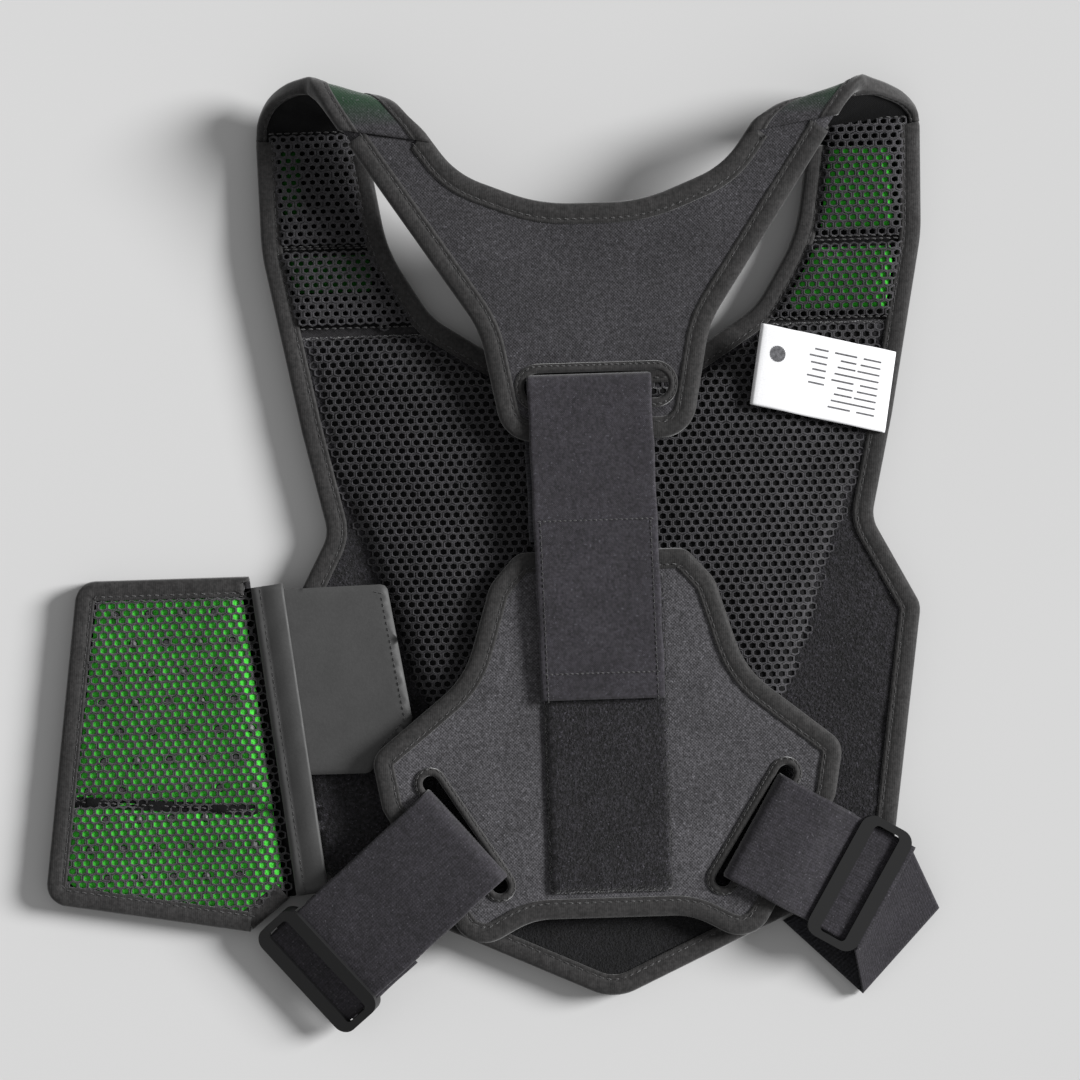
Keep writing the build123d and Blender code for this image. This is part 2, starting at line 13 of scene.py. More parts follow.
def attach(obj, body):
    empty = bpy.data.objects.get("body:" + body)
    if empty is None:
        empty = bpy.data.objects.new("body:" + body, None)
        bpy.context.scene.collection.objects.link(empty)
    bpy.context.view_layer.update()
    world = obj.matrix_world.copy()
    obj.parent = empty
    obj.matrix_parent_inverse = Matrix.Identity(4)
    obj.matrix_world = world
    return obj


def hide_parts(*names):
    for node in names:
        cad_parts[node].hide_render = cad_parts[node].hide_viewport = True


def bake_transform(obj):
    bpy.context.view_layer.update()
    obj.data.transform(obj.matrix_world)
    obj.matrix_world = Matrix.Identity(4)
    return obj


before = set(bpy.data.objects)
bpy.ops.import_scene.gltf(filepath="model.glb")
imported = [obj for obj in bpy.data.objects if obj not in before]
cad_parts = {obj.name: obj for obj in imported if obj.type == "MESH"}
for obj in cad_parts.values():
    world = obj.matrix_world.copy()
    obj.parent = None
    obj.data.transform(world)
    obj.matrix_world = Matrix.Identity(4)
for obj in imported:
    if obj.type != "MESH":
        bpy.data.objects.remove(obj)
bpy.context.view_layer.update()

MM = 0.001
scene = bpy.context.scene


# ---------------------------------------------------------------- flat outlines
def mirrored(points):
    """The points, and their mirror images across x = 0 on the way back."""
    return points + [(-x, y) for x, y in reversed(points)]


def travel(path):
    """Distance along a path at each of its points."""
    return np.concatenate([[0], np.cumsum(np.linalg.norm(np.diff(path, axis=0), axis=1))])


def resample(path, step, closed=True):
    """Points at even steps along a path."""
    p = np.array(path, float)
    q = np.vstack([p, p[:1]]) if closed else p
    run = travel(q)
    count = max(3, round(run[-1] / step))
    at = np.linspace(0, run[-1], count + 1)
    if closed:
        at = at[:-1]
    return np.stack([np.interp(at, run, q[:, i]) for i in range(q.shape[1])], axis=1)


def rounded(points, radii, step=2.0):
    """A closed outline with rounded corners, counter-clockwise."""
    if not hasattr(radii, "__len__"):
        radii = [radii] * len(points)
    out = []
    for i, r in enumerate(radii):
        p, a, b = Vector(points[i]), Vector(points[i - 1]), Vector(points[(i + 1) % len(points)])
        u, v = (a - p).normalized(), (b - p).normalized()
        half = u.angle(v) / 2
        reach = min(r / math.tan(half), 0.49 * min((a - p).length, (b - p).length))
        r = reach * math.tan(half)
        centre = p + (u + v).normalized() * (r / math.sin(half))
        s, e = p + u * reach - centre, p + v * reach - centre
        for k in range(9):
            w = k / 8
            out.append(tuple(centre + (s * (1 - w) + e * w).normalized() * r))
    out = np.array(out)
    x, y = out[:, 0], out[:, 1]
    if (x * np.roll(y, -1) - y * np.roll(x, -1)).sum() < 0:
        out = out[::-1]
    return resample(out, step)


def inward(path, closed=True):
    """Unit normals to the left of a path, which is inside for a counter-clockwise outline."""
    if closed:
        run = np.roll(path, -1, axis=0) - np.roll(path, 1, axis=0)
    else:
        run = np.gradient(path, axis=0)
    run = run[:, :2] / np.linalg.norm(run[:, :2], axis=1)[:, None]
    return np.stack([-run[:, 1], run[:, 0]], axis=1)


def gap(points, loop, closed=True):
    """Distance from each point to the nearest stretch of a loop or line."""
    a = loop if closed else loop[:-1]
    b = np.roll(loop, -1, axis=0) if closed else loop[1:]
    best = np.full(len(points), 1e9)
    for s, e in zip(a, b):
        d = e - s
        t = np.clip(((points - s) @ d) / max(d @ d, 1e-9), 0, 1)
        best = np.minimum(best, np.linalg.norm(points - s - t[:, None] * d, axis=1))
    return best


def inside(points, loop):
    """Which points lie within an outline."""
    x, y = points[:, 0], points[:, 1]
    odd = np.zeros(len(points), bool)
    for (x1, y1), (x2, y2) in zip(loop, np.roll(loop, -1, axis=0)):
        if y1 != y2:
            odd ^= ((y1 > y) != (y2 > y)) & (x < (x2 - x1) * (y - y1) / (y2 - y1) + x1)
    return odd


def inset(loop, amount, step=2.0):
    """The outline moved inwards, with the folded-over parts taken out."""
    moved = loop + inward(loop) * amount
    keep = (gap(moved, loop) > abs(amount) - 0.25) & (inside(moved, loop) == (amount > 0))
    return resample(moved[keep], step)


def clip(loop, a, b, c, step=2.0):
    """The part of an outline where a x + b y is at most c."""
    side = loop @ np.array([a, b]) - c
    out = []
    for i in range(len(loop)):
        j = (i + 1) % len(loop)
        if side[i] <= 0:
            out.append(loop[i])
        if (side[i] <= 0) != (side[j] <= 0):
            t = side[i] / (side[i] - side[j])
            out.append(loop[i] + t * (loop[j] - loop[i]))
    return resample(np.array(out), step)


def cut(loop, *sides):
    """The part of an outline within several sides, each given as clip takes it."""
    for side in sides:
        loop = clip(loop, *side)
    return loop


def runs(loop, keep):
    """The unbroken stretches of a closed outline that keep marks."""
    if keep.all():
        return [np.vstack([loop, loop[:1]])]
    first = int(np.where(keep & ~np.roll(keep, 1))[0][0])
    loop, keep = np.roll(loop, -first, axis=0), np.roll(keep, -first)
    out, now = [], []
    for p, k in zip(loop, keep):
        if k:
            now.append(p)
        elif now:
            out.append(np.array(now))
            now = []
    if now:
        out.append(np.array(now))
    return [r for r in out if len(r) > 3]


def fill(outline, step, holes=()):
    """Even triangles inside an outline, without its holes."""
    loops = [outline, *holes]
    low, high = outline.min(0), outline.max(0)
    rows = np.arange(low[1], high[1], step * 0.866)
    grid = np.array([(x + (j % 2) * step / 2, y) for j, y in enumerate(rows)
                     for x in np.arange(low[0], high[0], step)])
    keep = inside(grid, outline) & (gap(grid, outline) > step * 0.55)
    for h in holes:
        near = (np.abs(grid - h.mean(0)) < np.ptp(h, axis=0) / 2 + step).all(1)
        where = np.where(near)[0]
        if len(where):
            bad = inside(grid[where], h) | (gap(grid[where], h) < step * 0.4)
            keep[where[bad]] = False
    pts = np.vstack([*loops, grid[keep]])
    edges, base = [], 0
    for loop in loops:
        n = len(loop)
        edges += [(base + i, base + (i + 1) % n) for i in range(n)]
        base += n
    found = delaunay_2d_cdt([Vector(p) for p in pts], edges, [], 0, 1e-4)
    pts, tris = np.array([tuple(v) for v in found[0]]), np.array([list(f) for f in found[2]])
    middle = pts[tris].mean(1)
    good = inside(middle, outline)
    for h in holes:
        near = (np.abs(middle - h.mean(0)) < np.ptp(h, axis=0) / 2 + 1).all(1)
        where = np.where(near)[0]
        good[where[inside(middle[where], h)]] = False
    used, flat = np.unique(tris[good], return_inverse=True)
    return pts[used], flat.reshape(-1, 3)


def ramp(x, width):
    """0 at the edge, rising as a quarter round to 1 at width."""
    t = np.clip(x / width, 0, 1)
    return np.sqrt(np.clip(1 - (1 - t) ** 2, 0, 1))


def wave(points, size, seed=0):
    """Small smooth unevenness between -1 and 1."""
    x, y = points[:, 0] / size + seed * 3.7, points[:, 1] / size - seed * 1.9
    return (np.sin(x * 1.7 + 1.3 * np.sin(y * 1.1)) + np.sin(y * 2.1 + 1.7 * np.sin(x * 0.9 + seed))) / 2


# ---------------------------------------------------------------- meshes
def make(name, verts, faces, material, rest=None, smooth=True, ids=None):
    """A mesh object from points in millimetres, with its coordinates at rest kept for its material."""
    mesh = bpy.data.meshes.new(name)
    verts = np.array(verts, float)
    mesh.from_pydata([tuple(v) for v in verts * MM], [], [tuple(int(i) for i in f) for f in faces])
    for m in material if isinstance(material, list) else [material]:
        mesh.materials.append(m)
    if ids is not None:
        mesh.polygons.foreach_set("material_index", np.array(ids, np.int32))
    obj = bpy.data.objects.new(name, mesh)
    scene.collection.objects.link(obj)
    work = bmesh.new()
    work.from_mesh(mesh)
    bmesh.ops.recalc_face_normals(work, faces=work.faces)
    work.to_mesh(mesh)
    work.free()
    mesh.polygons.foreach_set("use_smooth", [smooth] * len(mesh.polygons))
    keep_rest(obj, None if rest is None else np.array(rest, float) * MM)
    return obj


def keep_rest(obj, rest=None):
    """Writes the coordinates at rest, which are the object's own unless given."""
    mesh = obj.data
    old = mesh.attributes.get("rest_co")
    if old:
        mesh.attributes.remove(old)
    if rest is None:
        rest = np.array([v.co for v in mesh.vertices])
    mesh.attributes.new("rest_co", "FLOAT_VECTOR", "POINT").data.foreach_set("vector", rest.ravel())


def ring_faces(rings, count, closed=False):
    """Quads from each ring of count points to the next."""
    faces = []
    for i in range(rings if closed else rings - 1):
        here, there = i * count, (i + 1) % rings * count
        for j in range(count):
            k = (j + 1) % count
            faces.append((here + j, here + k, there + k, there + j))
    return faces


def end_faces(rings, count):
    """A face over the first ring and one over the last."""
    return [tuple(range(count)), tuple(range((rings - 1) * count, rings * count))]


def leaf_faces(rows, cols):
    """Faces of an upper grid of points, of the lower one that follows it, and round their rim."""
    n = rows * cols
    corners = [i * cols + j for i in range(rows - 1) for j in range(cols - 1)]
    upper = [(a, a + 1, a + cols + 1, a + cols) for a in corners]
    lower = [(n + a, n + a + cols, n + a + cols + 1, n + a + 1) for a in corners]
    last = (rows - 1) * cols
    rim = [*range(cols), *range(2 * cols - 1, n, cols), *range(n - 2, last - 1, -1), *range(last - cols, 0, -cols)]
    return upper, lower, [(a, b, n + b, n + a) for a, b in zip(rim, rim[1:] + rim[:1])]


def solid(name, outline, top, bottom, material, step=4.0, holes=()):
    """A closed piece between two height functions of (points, distance from the edge)."""
    pts, tris = fill(outline, step, holes)
    edge = gap(pts, outline)
    for h in holes:
        edge = np.minimum(edge, gap(pts, h))
    n = len(pts)
    verts = np.vstack([np.column_stack([pts, top(pts, edge)]), np.column_stack([pts, bottom(pts, edge)])])
    faces = [tuple(t) for t in tris] + [tuple(t[::-1] + n) for t in tris]
    sides = {(t[i], t[(i + 1) % 3]) for t in tris.tolist() for i in range(3)}
    faces += [(a + n, b + n, b, a) for a, b in sorted(sides) if (b, a) not in sides]
    return make(name, verts, faces, material)


def sweep(name, path, profile, base, material, closed=False, pucker=0.12):
    """A folded tape along an outline: profile is (distance inwards, height above base) round its section."""
    n_in = inward(path, closed)
    s = np.arange(len(path)) * 2.0
    verts = []
    for j, (d, z) in enumerate(profile):
        xy = path[:, :2] + n_in * d
        wobble = pucker * (np.sin(s * 0.93 + j * 0.4) + 0.6 * np.sin(s * 0.31 + 1.7)) * (z > 4)
        verts.append(np.column_stack([xy, base(xy) + z + wobble]))
    verts = np.array(verts).transpose(1, 0, 2).reshape(-1, 3)
    faces = ring_faces(len(path), len(profile), closed)
    if not closed:
        faces += end_faces(len(path), len(profile))
    return make(name, verts, faces, material)


def tape_profile(h, width=9.0, top=1.0, foot=0.2):
    """Section of the edge tape round a panel of height h."""
    return [(0.6, foot), (0.05, foot + 1.2), (-0.1, h * 0.5), (0.0, h * 0.85), (0.5, h + 0.35 * top),
            (1.5, h + 0.85 * top), (3.2, h + 1.05 * top), (5.0, h + 1.0 * top), (6.1, h + 0.85 * top),
            (6.9, h + 0.4 * top), (7.6, h + 0.75 * top), (8.4, h + 0.7 * top), (width, h + 0.25 * top),
            (width - 0.3, h - 0.3), (1.6, h - 0.6), (1.5, foot)]


def ribbon(name, line, across, width, thick, material, ribs, rib):
    """A ribbed strap along a line of 3-D points, its width along across, and the line as smoothed."""
    line = np.array(line, float)
    for _ in range(2):
        mid = np.empty((len(line) * 2 - 2, 3))
        mid[0::2] = line[:-1] * 0.75 + line[1:] * 0.25
        mid[1::2] = line[:-1] * 0.25 + line[1:] * 0.75
        line = np.vstack([line[:1], mid, line[-1:]])
    line = resample(line, 1.6, closed=False)
    run = np.gradient(line, axis=0)
    run /= np.linalg.norm(run, axis=1)[:, None]
    side = np.array(across, float)
    side /= np.linalg.norm(side)
    up = np.cross(run, side)
    up /= np.linalg.norm(up, axis=1)[:, None]
    cols = ribs * 2 + 1
    u = np.linspace(-1, 1, cols)
    bump = np.where(np.arange(cols) % 2 == 0, rib, -rib)
    fall = np.clip((1 - np.abs(u)) * width / 2 / 1.2, 0, 1) ** 0.5
    half = thick / 2 * (0.35 + 0.65 * fall) + bump * fall
    ring_u = np.concatenate([u, u[::-1]])
    ring_h = np.concatenate([half, -half[::-1]])
    k = len(ring_u)
    verts, rest = [], []
    for p, lift, s in zip(line, up, travel(line)):
        w = width / 2 * (1 + 0.006 * math.sin(s * 0.21))
        verts.append(p + ring_u[:, None] * w * side + ring_h[:, None] * lift)
        rest.append(np.column_stack([ring_u * w, np.full(k, s), ring_h]))
    faces = ring_faces(len(line), k)
    for first in (0, (len(line) - 1) * k):
        faces += [(first + j, first + j + 1, first + k - 2 - j, first + k - 1 - j) for j in range(cols - 1)]
    return make(name, np.vstack(verts), faces, material, np.vstack(rest)), line


def lattice(name, outline, height, material, keep=0.0, hole=0.67, deep=1.4):
    """Open mesh fabric with real holes, in a staggered grid over a height function."""
    px, row = 4.1, 3.15
    tall, short = row * 0.64, row * 0.36
    half = px / 2
    ring = np.array([(0, tall), (half, short), (half, -short), (0, -tall), (-half, -short), (-half, short)])
    low, high = outline.min(0), outline.max(0)
    centres = np.array([(i * px + (j % 2) * half, j * row)
                        for j in range(int(low[1] // row), int(high[1] // row) + 2)
                        for i in range(int(low[0] // px) - 1, int(high[0] // px) + 2)])
    centres = centres[inside(centres, outline)]
    centres = centres[gap(centres, outline) > keep]
    centres = centres + 0.16 * np.column_stack([wave(centres, 3.1, 1), wave(centres, 2.7, 2)])
    verts = []
    for scale, drop in ((1.0, -0.1), (0.84, 0.15), (hole, -0.3), (hole * 0.92, -deep)):
        flat = (centres[:, None, :] + ring[None] * scale).reshape(-1, 2)
        verts.append(np.column_stack([flat, height(flat) + drop]).reshape(len(centres), 6, 3))
    cell = np.array(ring_faces(4, 6))
    faces = np.vstack([cell + c * 24 for c in range(len(centres))])
    return make(name, np.stack(verts, axis=1).reshape(-1, 3), faces, material)


def draped(obj, lift, low):
    """Height just over an object's top surface at flat points, and low beside it."""
    tree = BVHTree.FromObject(obj, bpy.context.evaluated_depsgraph_get())

    def height(points):
        hits = [tree.ray_cast(Vector((x * MM, y * MM, 0.2)), Vector((0, 0, -1)))[0] for x, y in points]
        return np.array([hit.z / MM + lift if hit else low for hit in hits])

    return height


threads = {}


def stitch(body, path, pitch=3.3, length=2.5, width=0.55, closed=False, ups=None):
    """A row of thread stitches along a line of 3-D points."""
    if ups is not None:
        both = resample(np.column_stack([path, ups * 1e-6]), pitch, closed)
        path, ups = both[:, :3], both[:, 3:] * 1e6
    else:
        path = resample(path, pitch, closed)
    nxt = np.roll(path, -1, axis=0) if closed else np.vstack([path[1:], path[-1:] * 2 - path[-2:-1]])
    verts, faces = threads.setdefault(body, ([], []))
    for i, (p, q) in enumerate(zip(path, nxt)):
        run = (q - p) / max(np.linalg.norm(q - p), 1e-6)
        top = np.array([0, 0, 1.0]) if ups is None else ups[i]
        side = np.cross(top, run)
        side /= max(np.linalg.norm(side), 1e-6)
        top = np.cross(run, side)
        base = len(verts)
        p = p + top * 0.12
        verts.append(p - run * length / 2 - top * 0.25)
        for t in (-0.28, 0.28):
            for a, b in ((1, 0), (0, 1), (-1, 0), (0, -1)):
                verts.append(p + run * length * t + side * a * width / 2 + top * b * width * 0.45)
        verts.append(p + run * length / 2 - top * 0.25)
        for j in range(4):
            k = (j + 1) % 4
            faces.append((base, base + 1 + k, base + 1 + j))
            faces.append((base + 1 + j, base + 1 + k, base + 5 + k, base + 5 + j))
            faces.append((base + 9, base + 5 + j, base + 5 + k))


def puff(obj, pressure, cap, voxel, ceiling, floor_z):
    """Swells a pad as stuffed fabric, with its stitched border held."""
    work = obj.modifiers.new("even", "REMESH")
    work.mode, work.voxel_size = "VOXEL", voxel * MM
    final_mesh(obj)
    start = np.array([v.co for v in obj.data.vertices])
    held = obj.vertex_groups.new(name="held")
    held.add([i for i, p in enumerate(start) if p[2] < floor_z * MM], 1.0, "REPLACE")
    cloth = obj.modifiers.new("cloth", "CLOTH")
    cloth.settings.vertex_group_mass = "held"
    cloth.settings.use_pressure = True
    cloth.settings.uniform_pressure_force = pressure
    cloth.settings.tension_stiffness = cloth.settings.compression_stiffness = 25
    cloth.settings.bending_stiffness = 2
    cloth.settings.effector_weights.gravity = 0
    cloth.collision_settings.use_collision = False
    cloth.point_cache.frame_start, cloth.point_cache.frame_end = 1, 20
    for f in range(1, 21):
        scene.frame_set(f)
    final_mesh(obj)
    scene.frame_set(1)
    now = np.array([v.co for v in obj.data.vertices])
    move = now - start
    size = np.linalg.norm(move, axis=1)
    move *= np.minimum(1, cap * MM / np.maximum(size, 1e-9))[:, None]
    now = start + move
    now[:, 2] = np.minimum(now[:, 2], ceiling(now[:, :2] / MM) * MM)
    obj.data.vertices.foreach_set("co", now.ravel())
    obj.modifiers.new("smooth", "SUBSURF").levels = 1
    final_mesh(obj)
    obj.data.polygons.foreach_set("use_smooth", [True] * len(obj.data.polygons))
    keep_rest(obj)


def final_mesh(obj):
    """Applies the modifiers."""
    mesh = bpy.data.meshes.new_from_object(obj.evaluated_get(bpy.context.evaluated_depsgraph_get()))
    obj.modifiers.clear()
    obj.data = mesh


# ---------------------------------------------------------------- materials
def linear(r, g, b):
    """Display colour, 0 to 255, as scene colour."""
    lit = [c / 255 / 12.92 if c < 10 else ((c / 255 + 0.055) / 1.055) ** 2.4 for c in (r, g, b)]
    return (*lit, 1.0)


def shade(colour, factor):
    return (*(c * factor for c in colour[:3]), 1.0)


class Paint:
    """One node material, built a node at a time over the coordinates at rest."""

    def __init__(self, name, **shader):
        self.mat = bpy.data.materials.new(name)
        self.mat.use_nodes = True
        self.tree = self.mat.node_tree
        self.tree.nodes.clear()
        self.bsdf = self.node("ShaderNodeBsdfPrincipled")
        out = self.node("ShaderNodeOutputMaterial")
        self.tree.links.new(self.bsdf.outputs[0], out.inputs[0])
        for key, value in shader.items():
            self.bsdf.inputs[key.replace("_", " ")].default_value = value
        place = self.node("ShaderNodeAttribute")
        place.attribute_name = "rest_co"
        self.place = place.outputs["Vector"]

    def node(self, kind, **props):
        n = self.tree.nodes.new(kind)
        for key, value in props.items():
            setattr(n, key, value)
        return n

    def put(self, socket, value):
        if isinstance(value, bpy.types.NodeSocket):
            self.tree.links.new(value, socket)
        else:
            socket.default_value = value

    def math(self, kind, a, b=0.0):
        n = self.node("ShaderNodeMath", operation=kind)
        self.put(n.inputs[0], a)
        self.put(n.inputs[1], b)
        return n.outputs[0]

    def noise(self, size, detail=2.0, stretch=None):
        """Noise with features of that size in millimetres, about 0 to 1."""
        n = self.node("ShaderNodeTexNoise")
        n.inputs["Scale"].default_value = 1 / (size * MM)
        n.inputs["Detail"].default_value = detail
        where = self.place
        if stretch:
            scale = self.node("ShaderNodeVectorMath", operation="MULTIPLY")
            self.put(scale.inputs[0], self.place)
            scale.inputs[1].default_value = stretch
            where = scale.outputs[0]
        self.put(n.inputs["Vector"], where)
        return n.outputs[0]

    def span(self, value, low, high, to_low=0.0, to_high=1.0):
        n = self.node("ShaderNodeMapRange")
        for i, v in enumerate((value, low, high, to_low, to_high)):
            self.put(n.inputs[i], v)
        return n.outputs[0]

    def waves(self, axis, pitch, turn=0.0):
        """A smooth wave of that pitch in millimetres along an axis, turned by degrees, -1 to 1."""
        split = self.node("ShaderNodeSeparateXYZ")
        self.put(split.inputs[0], self.place)
        c, s = math.cos(math.radians(turn)), math.sin(math.radians(turn))
        a, b = (split.outputs[0], split.outputs[1]) if axis == 0 else (split.outputs[1], split.outputs[0])
        way = self.math("ADD", self.math("MULTIPLY", a, c), self.math("MULTIPLY", b, s if axis else -s))
        return self.math("SINE", self.math("MULTIPLY", way, 2 * math.pi / (pitch * MM)))

    def blend(self, share, a, b):
        n = self.node("ShaderNodeMix", data_type="RGBA")
        self.put(n.inputs["Factor"], share)
        self.put(n.inputs[6], a)
        self.put(n.inputs[7], b)
        return n.outputs[2]

    def finish(self, colour, rough, height, strength, distance):
        self.put(self.bsdf.inputs["Base Color"], colour)
        self.put(self.bsdf.inputs["Roughness"], rough)
        bump = self.node("ShaderNodeBump")
        bump.inputs["Strength"].default_value = strength
        bump.inputs["Distance"].default_value = distance * MM
        self.put(bump.inputs["Height"], height)
        self.put(self.bsdf.inputs["Normal"], bump.outputs[0])
        return self.mat


def fabric(name, colour, dark, light, pitch, kind, speck=0.0, speck_colour=None, rough=0.85, sheen=0.25,
           depth=0.25, strength=0.6, tint=None, turn=0.0, patch=0.18, mottle=0.35):
    """Cloth of one colour: its weave, uneven dye, light fibres and nap.

    dark and light are the weave's extremes as shares of the colour: painted shade where the weave and grain are
    low and painted highlight where they are high, the same values that raise the bump.
    patch and mottle say how uneven the dye is, over 24 mm and over 1.5 mm."""
    p = Paint(name, Sheen_Weight=sheen, Sheen_Roughness=0.45, Specular_IOR_Level=0.3)
    base = linear(*colour)
    grain = p.noise(0.8, 4.0)
    if kind == "plain":
        weave = p.math("MULTIPLY", p.waves(0, pitch, turn), p.waves(1, pitch, turn))
        weave = p.span(weave, -1, 1)
    elif kind == "rib":
        crossing = p.math("MULTIPLY", p.waves(1, pitch * 0.8), 0.5)
        weave = p.span(p.math("ADD", p.waves(0, pitch, turn), crossing), -1.5, 1.5)
    elif kind == "twill":
        weave = p.span(p.waves(0, pitch, 35.0 + turn), -1, 1)
    else:
        weave = p.span(p.noise(pitch, 4.0), 0.3, 0.7)
    share = p.math("ADD", p.math("MULTIPLY", weave, 0.5), p.math("MULTIPLY", p.span(grain, 0.35, 0.65), 0.5))
    out = p.blend(share, shade(base, dark), shade(base, light))
    wide = p.math("MULTIPLY", p.span(p.noise(24.0, 3.0), 0.3, 0.7, 1 - patch, 1 + patch),
                  p.span(p.noise(1.5, 3.0), 0.35, 0.65, 1 - mottle, 1 + mottle))
    tone = p.node("ShaderNodeVectorMath", operation="SCALE")
    p.put(tone.inputs[0], out)
    p.put(tone.inputs["Scale"], wide)
    out = tone.outputs[0]
    if tint:
        tint_colour, low, high = tint
        split = p.node("ShaderNodeSeparateXYZ")
        p.put(split.inputs[0], p.place)
        over = p.span(split.outputs[1], low * MM, high * MM, 0.0, 0.95)
        over = p.math("MULTIPLY", over, p.span(p.noise(9.0), 0.3, 0.7, 0.7, 1.0))
        out = p.blend(over, out, linear(*tint_colour))
    if speck:
        fleck = p.span(p.noise(1.0, 1.0, (1.0, 1.0, 0.3)), 0.68 - speck * 0.1, 0.74, 0.0, 0.8)
        out = p.blend(fleck, out, linear(*speck_colour))
    rough_out = p.span(p.noise(6.0, 3.0), 0.3, 0.7, max(0.2, rough - 0.1), min(1.0, rough + 0.1))
    return p.finish(out, rough_out, share, strength, depth)


def moulded(name, colour, rough, coat):
    """Moulded plastic with a fine grain and small rubbed marks."""
    p = Paint(name, Coat_Weight=coat, Coat_Roughness=0.2)
    base = linear(*colour)
    rub = p.span(p.noise(1.8, 4.0, (1.0, 3.0, 1.0)), 0.55, 0.75)
    out = p.blend(rub, base, (*(c * 1.9 + 0.01 for c in base[:3]), 1.0))
    uneven = p.span(p.noise(3.0, 4.0), 0.3, 0.7, rough - 0.08, rough + 0.12)
    return p.finish(out, uneven, p.noise(0.5, 2.0), 0.12, 0.05)


def foam(name, colour):
    """Open-cell foam: bright, matt, pitted, with painted shade in the pits."""
    p = Paint(name, Specular_IOR_Level=0.2)
    base = linear(*colour)
    pits = p.node("ShaderNodeTexVoronoi")
    pits.inputs["Scale"].default_value = 1 / (0.9 * MM)
    p.put(pits.inputs["Vector"], p.place)
    cell = p.span(pits.outputs["Distance"], 0.1, 0.6)
    out = p.blend(cell, shade(base, 0.7), base)
    out = p.blend(p.span(p.noise(16.0, 3.0), 0.35, 0.7, 0.0, 0.3), out, shade(base, 0.55))
    return p.finish(out, p.span(p.noise(4.0), 0.3, 0.7, 0.8, 0.95), cell, 0.5, 0.3)


yoke_cloth = fabric("yoke_cloth", (54, 53, 56), 0.4, 1.8, 1.3, "plain", speck=0.2, speck_colour=(96, 95, 100),
                    sheen=0.3, depth=0.3, tint=((8, 52, 24), 179, 190))
lumbar_cloth = fabric("lumbar_cloth", (70, 69, 72), 0.4, 1.75, 1.35, "plain", speck=0.3,
                      speck_colour=(118, 117, 122), sheen=0.3, depth=0.3)
shell_cloth = fabric("shell_cloth", (40, 39, 41), 0.6, 1.5, 1.1, "plain")
tape_cloth = fabric("tape_cloth", (44, 43, 43), 0.72, 1.35, 0.8, "rib", rough=0.7, sheen=0.35, depth=0.12)
mesh_yarn = fabric("mesh_yarn", (52, 51, 54), 0.6, 1.5, 0.6, "twill", rough=0.65, sheen=0.4, depth=0.15)
wing_yarn = fabric("wing_yarn", (64, 63, 65), 0.6, 1.5, 0.6, "twill", rough=0.65, sheen=0.4, depth=0.15)
# Near-black underlay, also used for the strips of painted shade along the wing's seams.
underlay = fabric("underlay", (7, 7, 8), 0.7, 1.4, 1.0, "nap", rough=0.95, sheen=0.0)
# Near black: painted shade for the inside of the shoulder folds.
fold_inside_shade = fabric("fold_inside_shade", (9, 9, 10), 0.7, 1.35, 0.8, "plain", rough=0.95, sheen=0.0)
loop_cloth = fabric("loop_cloth", (24, 23, 26), 0.3, 2.3, 1.5, "nap", rough=0.95, sheen=0.5, depth=0.7,
                    strength=0.9, speck=0.3, speck_colour=(76, 74, 82), mottle=0.6)
# The loop pile again, darkened as painted shade, for the bottom lining under the lumbar plate.
loop_pile_shade = fabric("loop_pile_shade", (12, 12, 14), 0.4, 2.0, 1.5, "nap", rough=0.95, sheen=0.4, depth=0.7,
                   strength=0.9, mottle=0.5)
elastic_cloth = fabric("elastic_cloth", (43, 41, 46), 0.6, 1.45, 1.25, "rib", rough=0.8, sheen=0.35, depth=0.16,
                       speck=0.1, speck_colour=(82, 80, 86))
strap_cloth = fabric("strap_cloth", (50, 48, 53), 0.62, 1.4, 0.9, "plain", rough=0.85, sheen=0.35, depth=0.14,
                     speck=0.12, speck_colour=(84, 82, 90))
under_rib = fabric("under_rib", (40, 40, 44), 0.2, 1.9, 1.5, "rib", turn=90.0, rough=0.85, sheen=0.3, depth=0.5)
tab_cloth = fabric("tab_cloth", (76, 76, 76), 0.93, 1.07, 1.4, "nap", rough=0.6, sheen=0.2, depth=0.04,
                   patch=0.08, mottle=0.03)
hook_cloth = fabric("hook_cloth", (28, 28, 30), 0.5, 1.6, 1.2, "plain", rough=0.6)
label_cloth = fabric("label_cloth", (246, 246, 248), 0.93, 1.03, 0.7, "rib", rough=0.45, sheen=0.3, depth=0.04,
                     patch=0.01, mottle=0.01)
ink = fabric("ink", (95, 95, 98), 0.9, 1.1, 0.7, "plain", rough=0.6, sheen=0.0)
thread = fabric("thread", (50, 49, 50), 0.7, 1.5, 0.5, "twill", rough=0.55, sheen=0.4, depth=0.08)
green_foam = foam("green_foam", (66, 205, 58))
wing_green = foam("wing_green", (82, 226, 72))
# The strap foam's green darkened as painted shade, for the left-hand segments.
painted_shade_green = foam("painted_shade_green", (26, 92, 26))
pale_foam = foam("pale_core", (150, 152, 150))
buckle_plastic = moulded("buckle_plastic", (19, 19, 20), 0.48, 0.1)

